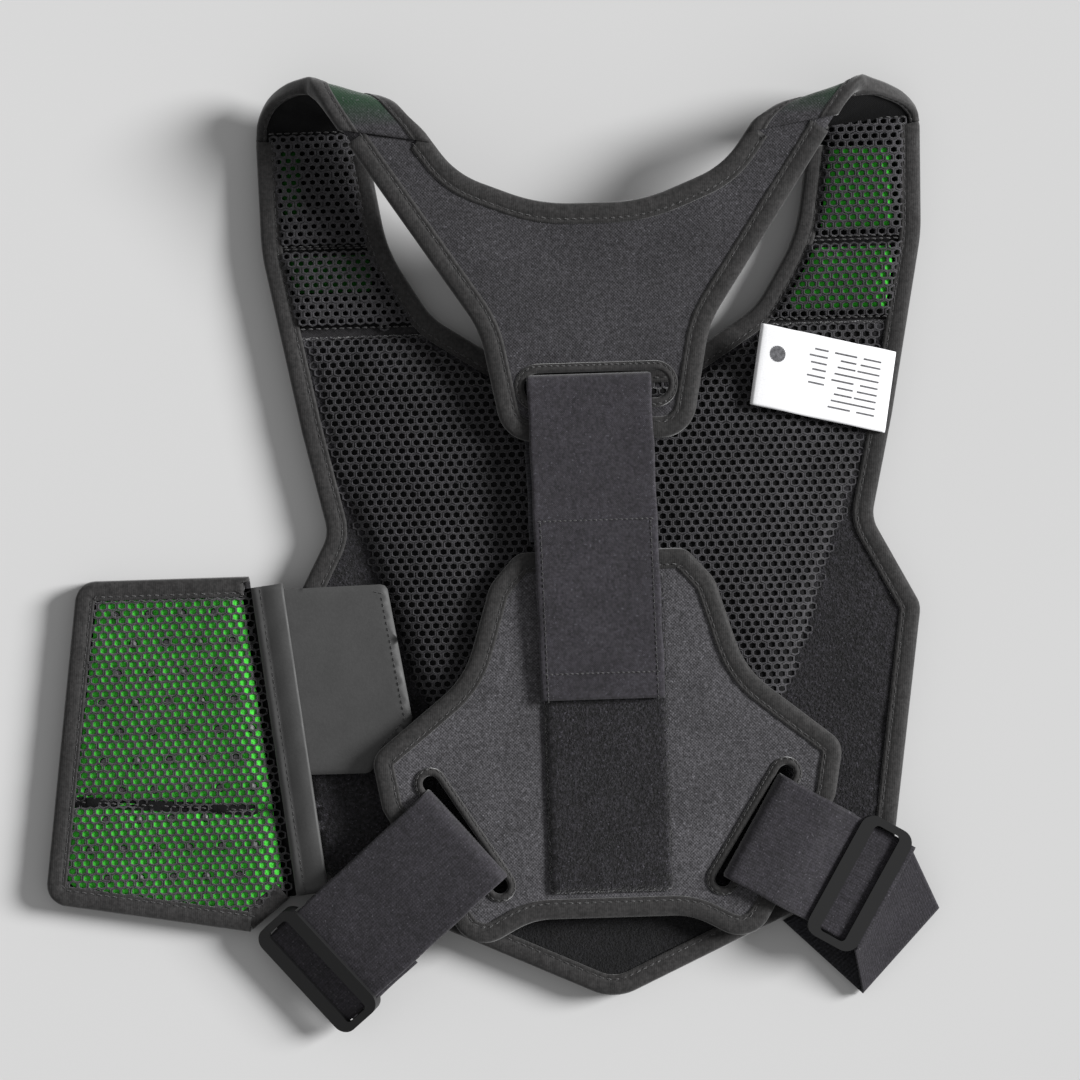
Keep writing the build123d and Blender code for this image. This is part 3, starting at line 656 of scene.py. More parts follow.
# ---------------------------------------------------------------- outlines and heights, as the CAD has them
PANEL = rounded(mirrored([(36, 76), (70, 98), (88, 128), (95, 170), (143, 176), (142, 128), (127, 50),
                          (117, 6), (137, -32), (121, -143), (5, -196)]),
                [30, 30, 60, 0.5, 0.5, 80, 60, 14, 10, 14, 20, 20, 14, 10, 14, 60, 80, 0.5, 0.5, 60, 30, 30])
PAD = rounded(mirrored([(38.7, 66.8), (76.9, 91.5), (124, 91.5), (114, 32), (96, -15), (86, -50),
                        (73, -80), (50, -140)]),
              [39, 1, 2, 8, 30, 30, 30, 12, 12, 30, 30, 30, 8, 2, 1, 39])
YOKE = rounded(mirrored([(22, 144), (57, 158), (70, 176.5), (109.5, 182.2), (49, 91), (40, 43)]),
               [70, 45, 0.5, 0.5, 45, 15, 15, 45, 0.5, 0.5, 45, 70])
PLATE = rounded(mirrored([(36, -4.5), (48, -18), (60, -57), (101, -90), (97, -113), (60, -176), (34, -162)]),
                [8, 14, 40, 9, 9, 14, 30, 30, 14, 9, 9, 40, 14, 8])
WING = rounded([(-226, -11), (-244, -149), (-156, -164), (-138.5, -150), (-152, -11)], [9, 9, 0.5, 0.5, 0.5])
WING_FOLD_X = -155.0
PANEL_H = 10.0
SEAM_IN = 6.9
SIDES = {"left": -1, "right": 1}
PLATE_SLOPE = math.tan(math.radians(3))


def level(z):
    return lambda p, edge=None: np.full(len(p), float(z))


def yoke_low(p):
    """Underside of the yoke."""
    return 25 + (p[:, 1] - 43) * math.tan(math.radians(2.6))


def plate_low(p):
    """Underside of the lumbar plate."""
    return 22.6 + (p[:, 1] + 4.5) * PLATE_SLOPE


def pad_crown(p):
    """Top of the chest pad away from its edges."""
    x = np.abs(p[:, 0])
    across = np.interp(x, [0, 30, 60, 80, 98, 112, 125, 142], [22, 21.7, 20.6, 18.2, 15, 13, 11.6, 11])
    along = np.interp(p[:, 1], [-170, -4.5, 40, 62, 80, 100], [13.0, 21.6, 21.6, 20, 16.5, 13])
    return np.minimum(across, along)


def slot_outline(length, width, corner, step, angle, centre):
    """A slot turned by degrees about its centre."""
    half, r = length / 2, width / 2
    base = rounded([(-half, -r), (half, -r), (half, r), (-half, r)], corner, step)
    a = math.radians(angle)
    turn = np.array([[math.cos(a), -math.sin(a)], [math.sin(a), math.cos(a)]])
    return base @ turn.T + np.array(centre)


def row_across(x0, x1, y, z):
    """A straight row of points from x0 to x1."""
    return np.column_stack([np.linspace(x0, x1, 20), np.full(20, y), np.full(20, z)])


# ---------------------------------------------------------------- what each piece is part of
def dress(piece, place, slot, *nodes, fill=None):
    """Lets a piece ride a body, or leaves it fixed where it stands when place names two, and hides the CAD nodes
    it stands for; slot is not used.
    """
    if isinstance(place, str):
        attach(piece, place)
    else:
        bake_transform(piece)
    if nodes:
        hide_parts(*nodes)


def edge_tape(label, loop, keep, profile, low, body, nodes=(), seam_z=None, pucker=0.12):
    """Edge tape along the stretches of an outline that keep marks, sewn at seam_z above low if given."""
    for i, stretch in enumerate(runs(loop, keep)):
        piece = sweep(f"{label}_{i}", stretch, profile, low, tape_cloth, pucker=pucker)
        dress(piece, body, "edge_tape", *nodes)
        if seam_z:
            xy = stretch + inward(stretch, False) * SEAM_IN
            stitch(body, np.column_stack([xy, low(xy) + seam_z]))


def slot_edge(name, centre, length, width, grow, angle, low, body, node):
    """A raised oval edging round a slot in a 5 mm panel, with its stitch groove."""
    loop = slot_outline(length, width, width / 2 * 0.98, 1.2, angle, centre)[::-1]
    profile = [(0.0, -4.6), (-0.1, 0.0), (0.5, 0.9), (1.4, 1.15), (2.3, 0.8), (2.8, 0.35), (3.3, 0.7),
               (grow - 0.3, 0.6), (grow, 0.0), (0.9, -0.2), (0.8, -4.6)]
    piece = sweep(name, loop, profile, lambda p: low(p) + 5.0, tape_cloth, closed=True, pucker=0.0)
    dress(piece, body, "edge_tape", node)
    xy = loop + inward(loop) * 2.8
    stitch(body, np.column_stack([xy, low(xy) + 5.5]), 2.6, 1.9, closed=True)


# ---------------------------------------------------------------- front panel
def beside_wing(points):
    """Where the wing's joining tape covers the panel's edge."""
    return (points[:, 0] < -100) & (points[:, 1] < -18) & (points[:, 1] > -150)


panel_inner = inset(PANEL, 1.5)
panel_body = solid("panel_shell", panel_inner, level(PANEL_H - 2), lambda p, d: 0.7 - 0.5 * ramp(d, 14),
                   shell_cloth, 6.0)
dress(panel_body, "front_panel", "shell_fabric", "front_shell", "front_foam", fill=0.7)

lining_windows = {
    "loop_lining_left": [(1, 0, 0), (0, 1, 91), (0, -1, 152)],
    "loop_lining_right": [(-1, 0, 0), (0, 1, 91), (0, -1, 152)],
    "loop_lining_bottom": [(0, 1, -152)],
}
for name, window in lining_windows.items():
    part = panel_inner.copy()
    if name.endswith("left"):
        part[beside_wing(part), 0] -= 2.6
    part = cut(part, *window)
    # The bottom lining takes the loop pile darkened as painted shade.
    piece = solid(name + "_nap", part, lambda p, d: PANEL_H - 0.5 + 0.25 * wave(p, 9) + 0.3 * wave(p, 27, 2),
                  level(PANEL_H - 1.6), loop_pile_shade if name.endswith("bottom") else loop_cloth)
    dress(piece, "front_panel", "loop_pile", name)


def pad_top(p, edge):
    return PANEL_H - 0.6 + (pad_crown(p) - PANEL_H - 0.6) * ramp(edge, 9) + 0.25 * wave(p, 21) * ramp(edge, 20)


chest_pad = solid("chest_pad_core", inset(PAD, 0.6), pad_top, level(PANEL_H - 1.8), underlay)
puff(chest_pad, 4.0, 3.0, 4.5, lambda p: pad_crown(p) - 0.9, PANEL_H + 0.6)
dress(chest_pad, "front_panel", "spacer_mesh", fill=0.7)
chest_mesh = lattice("chest_mesh", PAD, draped(chest_pad, 1.1, PANEL_H), mesh_yarn, keep=0.4)
dress(chest_mesh, "front_panel", "spacer_mesh", "chest_mesh_pad")

# The quilted segments of the shoulder straps, green foam under open mesh: each one's y range, then the x and y
# ranges of its foam.
SEGMENTS = {
    ("left", "upper"): (130.0, 179.0, -139, -124, 144, 171),
    ("left", "lower"): (94.5, 129.0, -133, -95, 110, 128),
    ("right", "upper"): (127.5, 178.0, 98, 130, 130, 166),
    ("right", "lower"): (92.5, 126.0, 85, 129, 95, 124),
}
STRAPS = rounded(mirrored([(36, 76), (70, 98), (88, 128), (96.5, 186), (143.5, 192), (142, 128), (127, 50)]),
                 [30, 30, 60, 0.5, 0.5, 80, 0.5, 0.5, 80, 0.5, 0.5, 60, 30, 30])
strap_field = inset(STRAPS, 7.0)


def segment_top(p, part, lift):
    """Top of a segment, crowned from its sewn edges."""
    return PANEL_H - 0.4 + lift * ramp(gap(p, part) * inside(p, part), 11) + 0.2 * wave(p, 13, 3)


for (word, tier), (y0, y1, x_low, x_high, y_low, y_high) in SEGMENTS.items():
    side = SIDES[word]
    deep = side < 0
    lift = 3.6 if tier == "upper" else 4.2
    part = cut(strap_field, (-side, 0, -60), (0, 1, y1), (0, -1, -y0))
    core = cut(inset(part, 3.2), (1, 0, x_high), (-1, 0, -x_low), (0, 1, y_high), (0, -1, -y_low))
    # The left-hand segments sit deeper, with smaller holes, and their foam takes the green darkened as painted
    # shade.
    foam_piece = solid(f"green_pad_{tier}_{word}", core,
                       lambda p, d: segment_top(p, part, lift) - (2.1 if deep else 1.5),
                       level(PANEL_H - 1.6), painted_shade_green if deep else green_foam, 3.5)
    dress(foam_piece, "front_panel", "green_foam", f"strap_pad_{tier}_{word}", fill=0.6)
    cover = solid(f"strap_underlay_{tier}_{word}", part, level(PANEL_H - 1.2), level(PANEL_H - 2), underlay,
                  5.0)
    dress(cover, "front_panel", "spacer_mesh")
    net = lattice(f"strap_net_{tier}_{word}", part, lambda p: segment_top(p, part, lift), mesh_yarn,
                  hole=0.56 if deep else 0.62)
    dress(net, "front_panel", "spacer_mesh", f"strap_mesh_{tier}_{word}")
    for y in (y0, y1):
        x = part[np.abs(part[:, 1] - y) < 2.2, 0]
        if len(x) > 2:
            stitch("front_panel", row_across(x.min(), x.max(), y, PANEL_H + 0.2))

# Edge tape of the panel, open where the shoulder folds start.
in_neck = inside(PANEL, np.array(mirrored([(60, 55), (99, 95), (119, 170), (119, 200)]), float))
at_fold = (np.abs(PANEL[:, 0]) > 97) & (np.abs(PANEL[:, 0]) < 141) & (PANEL[:, 1] > 168)
for label, node, keep in (("panel_tape", "panel_binding", ~in_neck & ~beside_wing(PANEL)),
                          ("neckline_tape", "neckline_binding", in_neck)):
    edge_tape(label, PANEL, keep & ~at_fold, tape_profile(PANEL_H), level(0), "front_panel", [node],
              PANEL_H + 0.45)

# ---------------------------------------------------------------- back yoke
yoke_pad = solid("yoke_pad", inset(YOKE, 1.5),
                 lambda p, d: yoke_low(p) + 4.6 + 0.7 * ramp(d, 22) + 0.15 * wave(p, 17, 5),
                 lambda p, d: yoke_low(p) + 0.5 - 0.5 * ramp(d, 10), yoke_cloth, 4.0,
                 [slot_outline(62, 12, 5.9, 1.5, 0, (0, 66))])
dress(yoke_pad, "back_yoke", "yoke_fabric", "yoke_panel", "yoke_foam", "yoke_lining", fill=0.6)
in_neck = inside(YOKE, np.array(mirrored([(0.5, 125), (50, 135), (90, 178), (90, 210)]), float))
at_fold = (np.abs(YOKE[:, 0]) > 72.5) & (np.abs(YOKE[:, 0]) < 107) & (YOKE[:, 1] > 172)
for label, node, keep in (("neck_tape", "neck_binding", in_neck), ("yoke_tape", "yoke_edge_binding", ~in_neck)):
    edge_tape(label, YOKE, keep & ~at_fold, tape_profile(5.0, top=1.1, foot=0.1), yoke_low, "back_yoke", [node],
              5.5, 0.1)
slot_edge("yoke_slot_edge", (0, 66), 62, 12, 4.0, 0, yoke_low, "back_yoke", "yoke_slot_rim")

# ---------------------------------------------------------------- shoulder folds
FOLD_KEYS = [0, 0.2, 0.35, 0.5, 0.65, 0.8, 0.92, 1.0, 1.08]
FOLD_OUTER = np.array([(143, 176.2), (141.5, 186), (137, 193), (129.5, 197.4), (121, 198.8), (118, 195.2),
                       (113.4, 188.4), (109.5, 182.2), (106.0, 176.9)])
FOLD_INNER = np.array([(95, 170.2), (94.8, 179), (93.8, 184), (92, 186.5), (88.5, 188.5), (81, 185.5),
                       (74.6, 180.5), (70, 176.5), (65.6, 169.8)])


def smooth_at(keys, values, at):
    """A smooth curve through values at keys."""
    slopes = np.gradient(values, keys, axis=0)
    i = int(np.clip(np.searchsorted(keys, at) - 1, 0, len(keys) - 2))
    h = keys[i + 1] - keys[i]
    t = (at - keys[i]) / h
    return ((2 * t ** 3 - 3 * t ** 2 + 1) * values[i] + (t ** 3 - 2 * t ** 2 + t) * h * slopes[i]
            + (3 * t ** 2 - 2 * t ** 3) * values[i + 1] + (t ** 3 - t ** 2) * h * slopes[i + 1])


def fold_line(turn, share):
    """The fold's middle surface at +X: turn 0 to 1 over the shoulder, share 0 to 1 from outer to inner edge."""
    xy = smooth_at(FOLD_KEYS, FOLD_OUTER, turn) * (1 - share) + smooth_at(FOLD_KEYS, FOLD_INNER, turn) * share
    z = 4.6 + 14.6 * (1 + math.sin(math.radians(-90 + 180 * min(turn, 1)))) + 0.2 * max(0, turn - 1)
    return np.array([*xy, z])


def fold_point(side, turn, share, off):
    """A point of the fold, off from its middle surface. The right-hand fold sags."""
    here = fold_line(turn, share)
    way = fold_line(min(turn + 0.01, 1.08), share) - fold_line(max(turn - 0.01, 0), share)
    across = fold_line(turn, 1) - fold_line(turn, 0)
    normal = np.cross(way, across)
    here = here + normal * (off / np.linalg.norm(normal))
    sag = (7.5 + 2.5 * share) * math.sin(math.pi * min(turn, 1)) ** 1.3 if side > 0 else 0
    return np.array([side * here[0], here[1] - sag, here[2]])


def fold_half(turn):
    """Half the fold's thickness."""
    return 3.0 + 0.9 * max(0.0, 1 - turn / 0.25)


def tape_share(edge, turn, inwards):
    """Share across the fold of a line on the tape of its outer (0) or inner (1) edge.

    The outer tape shows half its width below the crest."""
    grown = min(1.0, max(0.0, (turn - 0.55) / 0.15))
    leaf = 1.0 if edge else 0.5 + 0.5 * grown
    wide = np.linalg.norm(fold_point(1, turn, 0, 0) - fold_point(1, turn, 1, 0))
    return abs(edge - inwards * leaf / wide)


def fold_tape_section(h):
    """The tape's section as (distance from the edge, height off the middle surface)."""
    upper = [(9.0, h + 0.1), (8.3, h + 0.6), (7.5, h + 0.7), (SEAM_IN, h + 0.3), (6.0, h + 0.8), (3.5, h + 1.0),
             (1.2, h + 0.7), (0.1, h * 0.7)]
    return [*upper, (-0.1, 0), *((d, -off) for d, off in reversed(upper)), (5.0, 0)]


def over_shoulder(side):
    return "front_panel", "back_yoke", (side * 0.11, 0.18, 0.006), (side * 0.1, 0.18, 0.034)


turns, shares = np.linspace(0, 1.06, 43), np.linspace(0.02, 0.98, 21)
for word, side in SIDES.items():
    verts = []
    for face in (1, -1):
        for t in turns:
            for s in shares:
                crown = 0.5 * math.sin(math.pi * s) * face
                ripple = 0.12 * math.sin(t * 31 + s * 9) * math.sin(math.pi * s)
                verts.append(fold_point(side, t, s, face * fold_half(t) * 0.9 + crown + ripple))
    upper, lower, rim = leaf_faces(len(turns), len(shares))
    ids = [0] * len(upper) + [1] * len(lower) + [0] * len(rim)
    # The fold's inner faces and rim take the near-black painted shade, its outer faces the yoke cloth.
    pad_piece = make(f"shoulder_pad_{word}", verts, upper + lower + rim, [fold_inside_shade, yoke_cloth], ids=ids)
    dress(pad_piece, over_shoulder(side), "yoke_fabric", f"shoulder_fold_{word}", fill=0.6)
    for edge, label in ((0.0, "outer"), (1.0, "inner")):
        sections = [fold_tape_section(fold_half(t)) for t in turns]
        verts = [fold_point(side, t, tape_share(edge, t, d), off)
                 for t, section in zip(turns, sections) for d, off in section]
        count = len(sections[0])
        tape_piece = make(f"fold_tape_{label}_{word}", verts,
                          ring_faces(len(turns), count) + end_faces(len(turns), count), tape_cloth)
        dress(tape_piece, over_shoulder(side), "edge_tape")
        for face in (1, -1):
            row, ups = [], []
            for t in np.linspace(0.02, 0.98, 60):
                h, share = fold_half(t), tape_share(edge, t, SEAM_IN)
                row.append(fold_point(side, t, share, face * (h + 0.35)))
                ups.append(fold_point(side, t, share, face * (h + 1)) - fold_point(side, t, share, face * h))
            stitch(f"fold_{word}", np.array(row), ups=np.array(ups))

# ---------------------------------------------------------------- central strap
STRAP_W, STRAP_END = 53.0, -68.0


def strip_top(y):
    """Face of the loop strip on the tilted plate."""
    return 28.9 + (y + 4.5) * PLATE_SLOPE


def strap_x(y):
    """Middle of the strap, which lies a little to the left at its top."""
    return -1.0 - 2.2 * max(0.0, min(1.0, (y + 66) / 139))


def at_slot(low, high):
    """Where the strap starts to swing, for a layer of those two heights in metres."""
    return "back_yoke", "central_strap", (0, 0.047, low), (0, 0.035, high)


over = [(70.4, 27.0), (70.4, 29.5), (70.4, 32.6), (67, 34.0), (58, 33.6), (41, 33.0), (10, 32.8), (-14, 32.6),
        (STRAP_END, strip_top(STRAP_END) + 2.4)]
strap_piece, strap_line = ribbon("strap_webbing", [(strap_x(y), y, z) for y, z in over], (1, 0, 0), STRAP_W,
                                 1.6, strap_cloth, 30, 0.04)
dress(strap_piece, at_slot(0.033, 0.033), "webbing", "central_strap", "strap_loop")
for dx in (-23.5, 23.5):
    stitch("central_strap", strap_line[strap_line[:, 1] < 8] + np.array([dx, 0, 0.85]), 2.6, 1.9, 0.45)
for y in (8.6, -56.8):
    z = float(np.interp(-y, -strap_line[:, 1], strap_line[:, 2])) + 0.85
    stitch("central_strap", row_across(strap_x(y) - 24, strap_x(y) + 24, y, z), 2.2, 1.7, 0.5)
under = [(70.2, 27.5), (70.0, 24.8), (66, 23.6), (55, 23.2), (44, 23.4), (38, 24.2), (30, 27.4), (20, 30.0),
         (0, 29.6)]
return_piece, _ = ribbon("strap_return", [(strap_x(y) - 2.0, y, z) for y, z in under], (1, 0, 0), STRAP_W, 1.4,
                         under_rib, 26, 0.1)
dress(return_piece, at_slot(0.024, 0.026), "webbing", "strap_return_layer")
patch = [(strap_x(y), y, strip_top(y) + 0.9) for y in (-20, -36, -52, -66)]
patch_piece, _ = ribbon("strap_hooks", patch, (1, 0, 0), 49, 1.1, hook_cloth, 16, 0.05)
dress(patch_piece, "central_strap", "hook_tape", "strap_hook_patch")

# ---------------------------------------------------------------- lumbar plate
SLOT_X, SLOT_Y, SLOT_ANGLE = 62.0, -124.5, 57.7
plate_slots = [slot_outline(60, 7, 3.4, 1.5, side * SLOT_ANGLE, (side * SLOT_X, SLOT_Y)) for side in (-1, 1)]
plate_pad = solid("lumbar_pad", inset(PLATE, 1.5),
                  lambda p, d: plate_low(p) + 4.5 + 0.6 * ramp(d, 16) + 0.12 * wave(p, 19, 4),
                  lambda p, d: plate_low(p) + 0.4 - 0.3 * ramp(d, 10), lumbar_cloth, 4.0, plate_slots)
dress(plate_pad, "lumbar_plate", "shell_fabric", "lumbar_cover", "lumbar_board", "lumbar_backing", fill=0.5)
plate_tape = sweep("lumbar_tape", PLATE, tape_profile(5.0, 8.6, 1.0, 0.1), plate_low, tape_cloth, closed=True,
                   pucker=0.1)
dress(plate_tape, "lumbar_plate", "edge_tape", "lumbar_binding")
xy = PLATE + inward(PLATE) * 6.8
stitch("lumbar_plate", np.column_stack([xy, plate_low(xy) + 5.5]), closed=True)
strip = rounded([(-26.5, -14.5), (-26.5, -151), (26.5, -151), (26.5, -14.5)], 1.5)
strip_piece = solid("lumbar_loop", strip,
                    lambda p, d: plate_low(p) + 6.3 + 0.15 * ramp(d, 3) + 0.1 * wave(p, 7, 6),
                    lambda p, d: plate_low(p) + 5.0, loop_cloth, 3.5)
dress(strip_piece, "lumbar_plate", "loop_pile", "lumbar_loop_strip")
for word, side in SIDES.items():
    slot_edge(f"lumbar_slot_edge_{word}", (side * SLOT_X, SLOT_Y), 60, 7, 3.5, side * SLOT_ANGLE, plate_low,
              "lumbar_plate", f"lumbar_slot_rim_{word}")

# ---------------------------------------------------------------- elastic straps
# Each strap runs down and outwards from its slot, at these degrees below level.
HEADINGS = {"left": math.radians(41.0), "right": math.radians(30.5)}
ELASTIC_W = 50.0


def from_slot(word, s, z):
    """A point on a strap's middle, s from its slot."""
    a = HEADINGS[word]
    return SIDES[word] * (SLOT_X + s * math.cos(a)), SLOT_Y - s * math.sin(a), z


def over_width(word):
    return SIDES[word] * math.sin(HEADINGS[word]), math.cos(HEADINGS[word]), 0


# Thickness, material, number of ribs and their height.
run_look = 1.6, elastic_cloth, 40, 0.07
back_look = 1.5, under_rib, 24, 0.12
# Points of each strap and of its return layer, as (distance from the slot, height).
left_run = [(-1, 15), (-1.4, 21), (0.5, 25.3), (5, 25.9), (27, 24.6), (50, 21.6), (68, 19.0), (76, 17.2),
            (85, 13.2), (93, 9.4), (97.5, 7.2)]
right_run = [(-0.6, 15), (-1.2, 21), (0.3, 24.9), (4, 25.4), (24, 24.2), (31, 20.5), (38, 16.9), (50, 16.0),
             (65.5, 15.0)]
left_back = [(2.5, 13.1), (26, 13.1), (42, 15), (70, 15.4)]
right_back = [(-1.2, 14), (12, 13.2), (25, 12.8), (36, 12.2)]
for name, word, node, length, look, points in (
        ("elastic_run", "left", "elastic_left", 0.112, run_look, left_run),
        ("elastic_run", "right", "elastic_right", 0.077, run_look, right_run),
        ("elastic_back", "left", "elastic_left_return", 0.069, back_look, left_back),
        ("elastic_back", "right", "elastic_right_return", 0.038, back_look, right_back)):
    line = [from_slot(word, s, z) for s, z in points]
    piece, _ = ribbon(f"{name}_{word}", line, over_width(word), ELASTIC_W, *look)
    start, end = (tuple(Vector(from_slot(word, s, 20)) * MM) for s in (4, 40))
    dress(piece, ("lumbar_plate", "front_panel", start, end), "elastic", node)

down = np.array([-math.cos(HEADINGS["left"]), -math.sin(HEADINGS["left"]), 0])
tail_top = np.array([-107, -166, 3.9])
left_tail, _ = ribbon("elastic_tail_left", [tail_top + down * 29, tail_top, (-101, -160.8, 3.9)],
                      over_width("left"), ELASTIC_W, 1.5, elastic_cloth, 40, 0.07)
dress(left_tail, "front_panel", "elastic", "elastic_left_tail")


def quad(name, corners, material):
    """A flat stretch of strap, 1.5 mm thick, between four 3-D corners."""
    c = np.array(corners, float)
    rows, cols = 26, 40
    verts, rest = [], []
    for face in (1, -1):
        for u in np.linspace(0, 1, rows):
            for j, v in enumerate(np.linspace(0, 1, cols)):
                p = (c[0] * (1 - v) + c[3] * v) * (1 - u) + (c[1] * (1 - v) + c[2] * v) * u
                rib = 0.06 if j % 2 else -0.06
                verts.append(p + np.array([0, 0, face * (0.75 + rib)]))
                rest.append((v * ELASTIC_W, u * 40, 0))
    upper, lower, rim = leaf_faces(rows, cols)
    return make(name, verts, upper + lower + rim, material, rest)


right_tail = quad("elastic_tail_right",
                  [(128.9, -135.5, 14), (141, -163, 6.2), (107, -199, 4.4), (103.4, -179, 14)], elastic_cloth)
dress(right_tail, "front_panel", "elastic", "elastic_right_tail")
right_under = quad("elastic_under_right",
                   [(141, -163, 2.2), (121, -144, 2.2), (73.5, -166.5, 2.2), (107, -199, 2.2)], under_rib)
dress(right_under, "front_panel", "elastic", "elastic_right_under")

for word in SIDES:
    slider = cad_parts[f"slider_{word}"]
    slider.data.materials.clear()
    slider.data.materials.append(buckle_plastic)
    soften = slider.modifiers.new("soften", "BEVEL")
    soften.width, soften.segments, soften.limit_method = 0.75 * MM, 3, "ANGLE"

# ---------------------------------------------------------------- side wing
wing_seam = np.array([(-232, -105.6), (-132, -113.4)])
wing_edge = np.array([(-152, -11), (-138.5, -150)])


def wing_top(p, d):
    quilt = np.minimum(ramp(gap(p, wing_seam, False), 14), ramp(gap(p, wing_edge, False), 12))
    return 5.4 + 4.0 * np.minimum(ramp(d, 14), quilt) + 0.25 * wave(p, 15, 7)


def wing_face(drop):
    """The wing's top lowered by drop, as a height function."""
    return lambda p, edge=None: wing_top(p, gap(p, WING)) - drop


def wing_fold(z):
    """The fold line at a layer's height in metres."""
    return "wing_joint", "side_wing", (-0.152, -0.08, z), (-0.158, -0.08, z)


PORE_R, PORE_PITCH = 1.9, 14.2
wing_field = rounded([(-222, -15), (-240, -146), (-158, -160), (-137.5, -150), (-151.5, -16)], [5, 5, 1, 1, 1])
foam_zone = rounded([(-217.5, -19.5), (-235, -142), (-158, -155), (-141, -146), (-154.8, -20)], [6, 6, 3, 3, 2])
grid = np.array([(-238 + (i + (j % 2) / 2) * PORE_PITCH, -152 + j * 12.6) for j in range(12) for i in range(9)])
grid = grid[inside(grid, foam_zone) & (gap(grid, foam_zone) > 4) & (gap(grid, wing_seam, False) > 3)]
round_a = np.linspace(0, 2 * math.pi, 11)[:-1]
pores = [np.column_stack([np.cos(round_a), np.sin(round_a)]) * PORE_R + c for c in grid]
wing_foam = solid("wing_foam_pad", foam_zone, lambda p, d: wing_top(p, d + 8) - 1.1, level(2.2), wing_green,
                  3.5, pores)
dress(wing_foam, wing_fold(0.006), "green_foam", "wing_foam", fill=0.6)
wing_lining = solid("wing_lining", inset(WING, 7.0), level(2.0), level(1.3), pale_foam, 2.5)
joined = bmesh.new()
joined.from_mesh(wing_lining.data)
for hole in pores:
    middle = hole.mean(0)
    plug = solid("plug", (hole - middle) * 0.8 + middle, wing_face(1.3), level(1.4), pale_foam, 3.0)
    joined.from_mesh(plug.data)
    bpy.data.objects.remove(plug)
joined.to_mesh(wing_lining.data)
joined.free()
keep_rest(wing_lining)
shell_part = clip(inset(WING, 1.5), 1, 0, WING_FOLD_X + 4)
wing_shell = solid("wing_shell", shell_part, level(1.2), lambda p, d: 0.5 - 0.4 * ramp(d, 8), shell_cloth, 2.5)
inset(WING, 7.0)
dress(wing_lining, wing_fold(0.004), "shell_fabric")
dress(wing_shell, wing_fold(0.001), "shell_fabric", "wing_backing")
wing_net = lattice("wing_net", wing_field, wing_face(0), wing_yarn, hole=0.72, deep=0.95)
dress(wing_net, wing_fold(0.009), "spacer_mesh", "wing_mesh")
# A near-black strip under the net along the quilting seam: painted shade in the crease.
crease = rounded([(-232, -103.4), (-232, -107.8), (-151, -114.1), (-151, -109.7)], 0.8, 3.0)
crease_shade_piece = solid("wing_crease_shade", crease, wing_face(0.2), wing_face(1.5), underlay, 2.5)
dress(crease_shade_piece, wing_fold(0.009), "spacer_mesh")
x = np.linspace(-226, -141, 40)
x = x[x < -157]
stitch("side_wing", np.column_stack([x, np.interp(x, *wing_seam.T), np.full(len(x), 6.9)]), 3.2, 2.4)
beyond_fold = (WING[:, 0] < -155.2) | ((WING[:, 1] > -14) & (WING[:, 0] < -151.8))
edge_tape("wing_tape_edge", WING, beyond_fold, tape_profile(8.6, 8.6, 1.0, 0.1), level(0), "side_wing",
          ["wing_binding"], 9.1)
edge_tape("wing_root_tape", WING, (WING[:, 0] > -155.5) & (WING[:, 1] < -149), tape_profile(8.0, 8.6, 1.0, 0.1),
          level(0), "wing_joint")
root_pad = solid("wing_root_pad", clip(WING, -1, 0, -WING_FOLD_X + 0.3), lambda p, d: 1.7 + 0.3 * ramp(d, 4),
                 lambda p, d: 0.6 - 0.5 * ramp(d, 4), shell_cloth, 3.0)
dress(root_pad, "wing_joint", "shell_fabric", "wing_root", fill=0.4)

# The joining tape's left edge runs along SEAM from SEAM_TOP, and its width is along SEAM_X.
SEAM_TOP, SEAM_LENGTH = np.array([-151.4, -16, 0]), 134
SEAM, SEAM_X = np.array([0.116, -0.993, 0]), np.array([0.993, 0.116, 0])


def seam_strip(name, section, material):
    """A strip along the wing seam from a section of (distance to the right, height)."""
    rows = 48
    verts = []
    for i in range(rows):
        here = SEAM_TOP + SEAM * SEAM_LENGTH * i / (rows - 1)
        for j, (x, z) in enumerate(section):
            verts.append(here + SEAM_X * x + np.array([0, 0, z + 0.1 * math.sin(i * 0.9 + j)]))
    return make(name, verts, ring_faces(rows, len(section)) + end_faces(rows, len(section)), material)


joining_tape = seam_strip("wing_seam_tape", [
    (0.5, 8.6), (0.3, 9.8), (1.2, 11.0), (3.0, 11.7), (4.2, 11.3), (5.4, 11.9), (9.0, 13.3), (13.2, 14.2),
    (14.2, 13.9), (14.4, 12.8), (12, 11.4), (8, 10.6), (4, 9.2)], tab_cloth)
dress(joining_tape, "wing_joint", "tab_fabric", "wing_tape")
# A near-black strip under the joining tape's left edge: painted shade in the gap there.
seam_shade_sheet = seam_strip("wing_seam_shade", [(2.5, 9.0), (-4.0, 2.6), (-4.0, 1.6), (4.0, 8.0)], underlay)
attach(seam_shade_sheet, "wing_joint")
row = [SEAM_TOP + SEAM_X * 4.2 + SEAM * s + np.array([0, 0, 11.35]) for s in np.linspace(2, 132, 60)]
stitch("wing_joint", np.array(row), 3.0, 2.2, 0.45)


def tab_low(p, edge=None):
    """Underside of the tab, which rises from the joining tape's right edge."""
    out = (p - SEAM_TOP[:2]) @ SEAM_X[:2]
    return 12.7 + np.maximum(0, out - 14) * math.tan(math.radians(6.5))


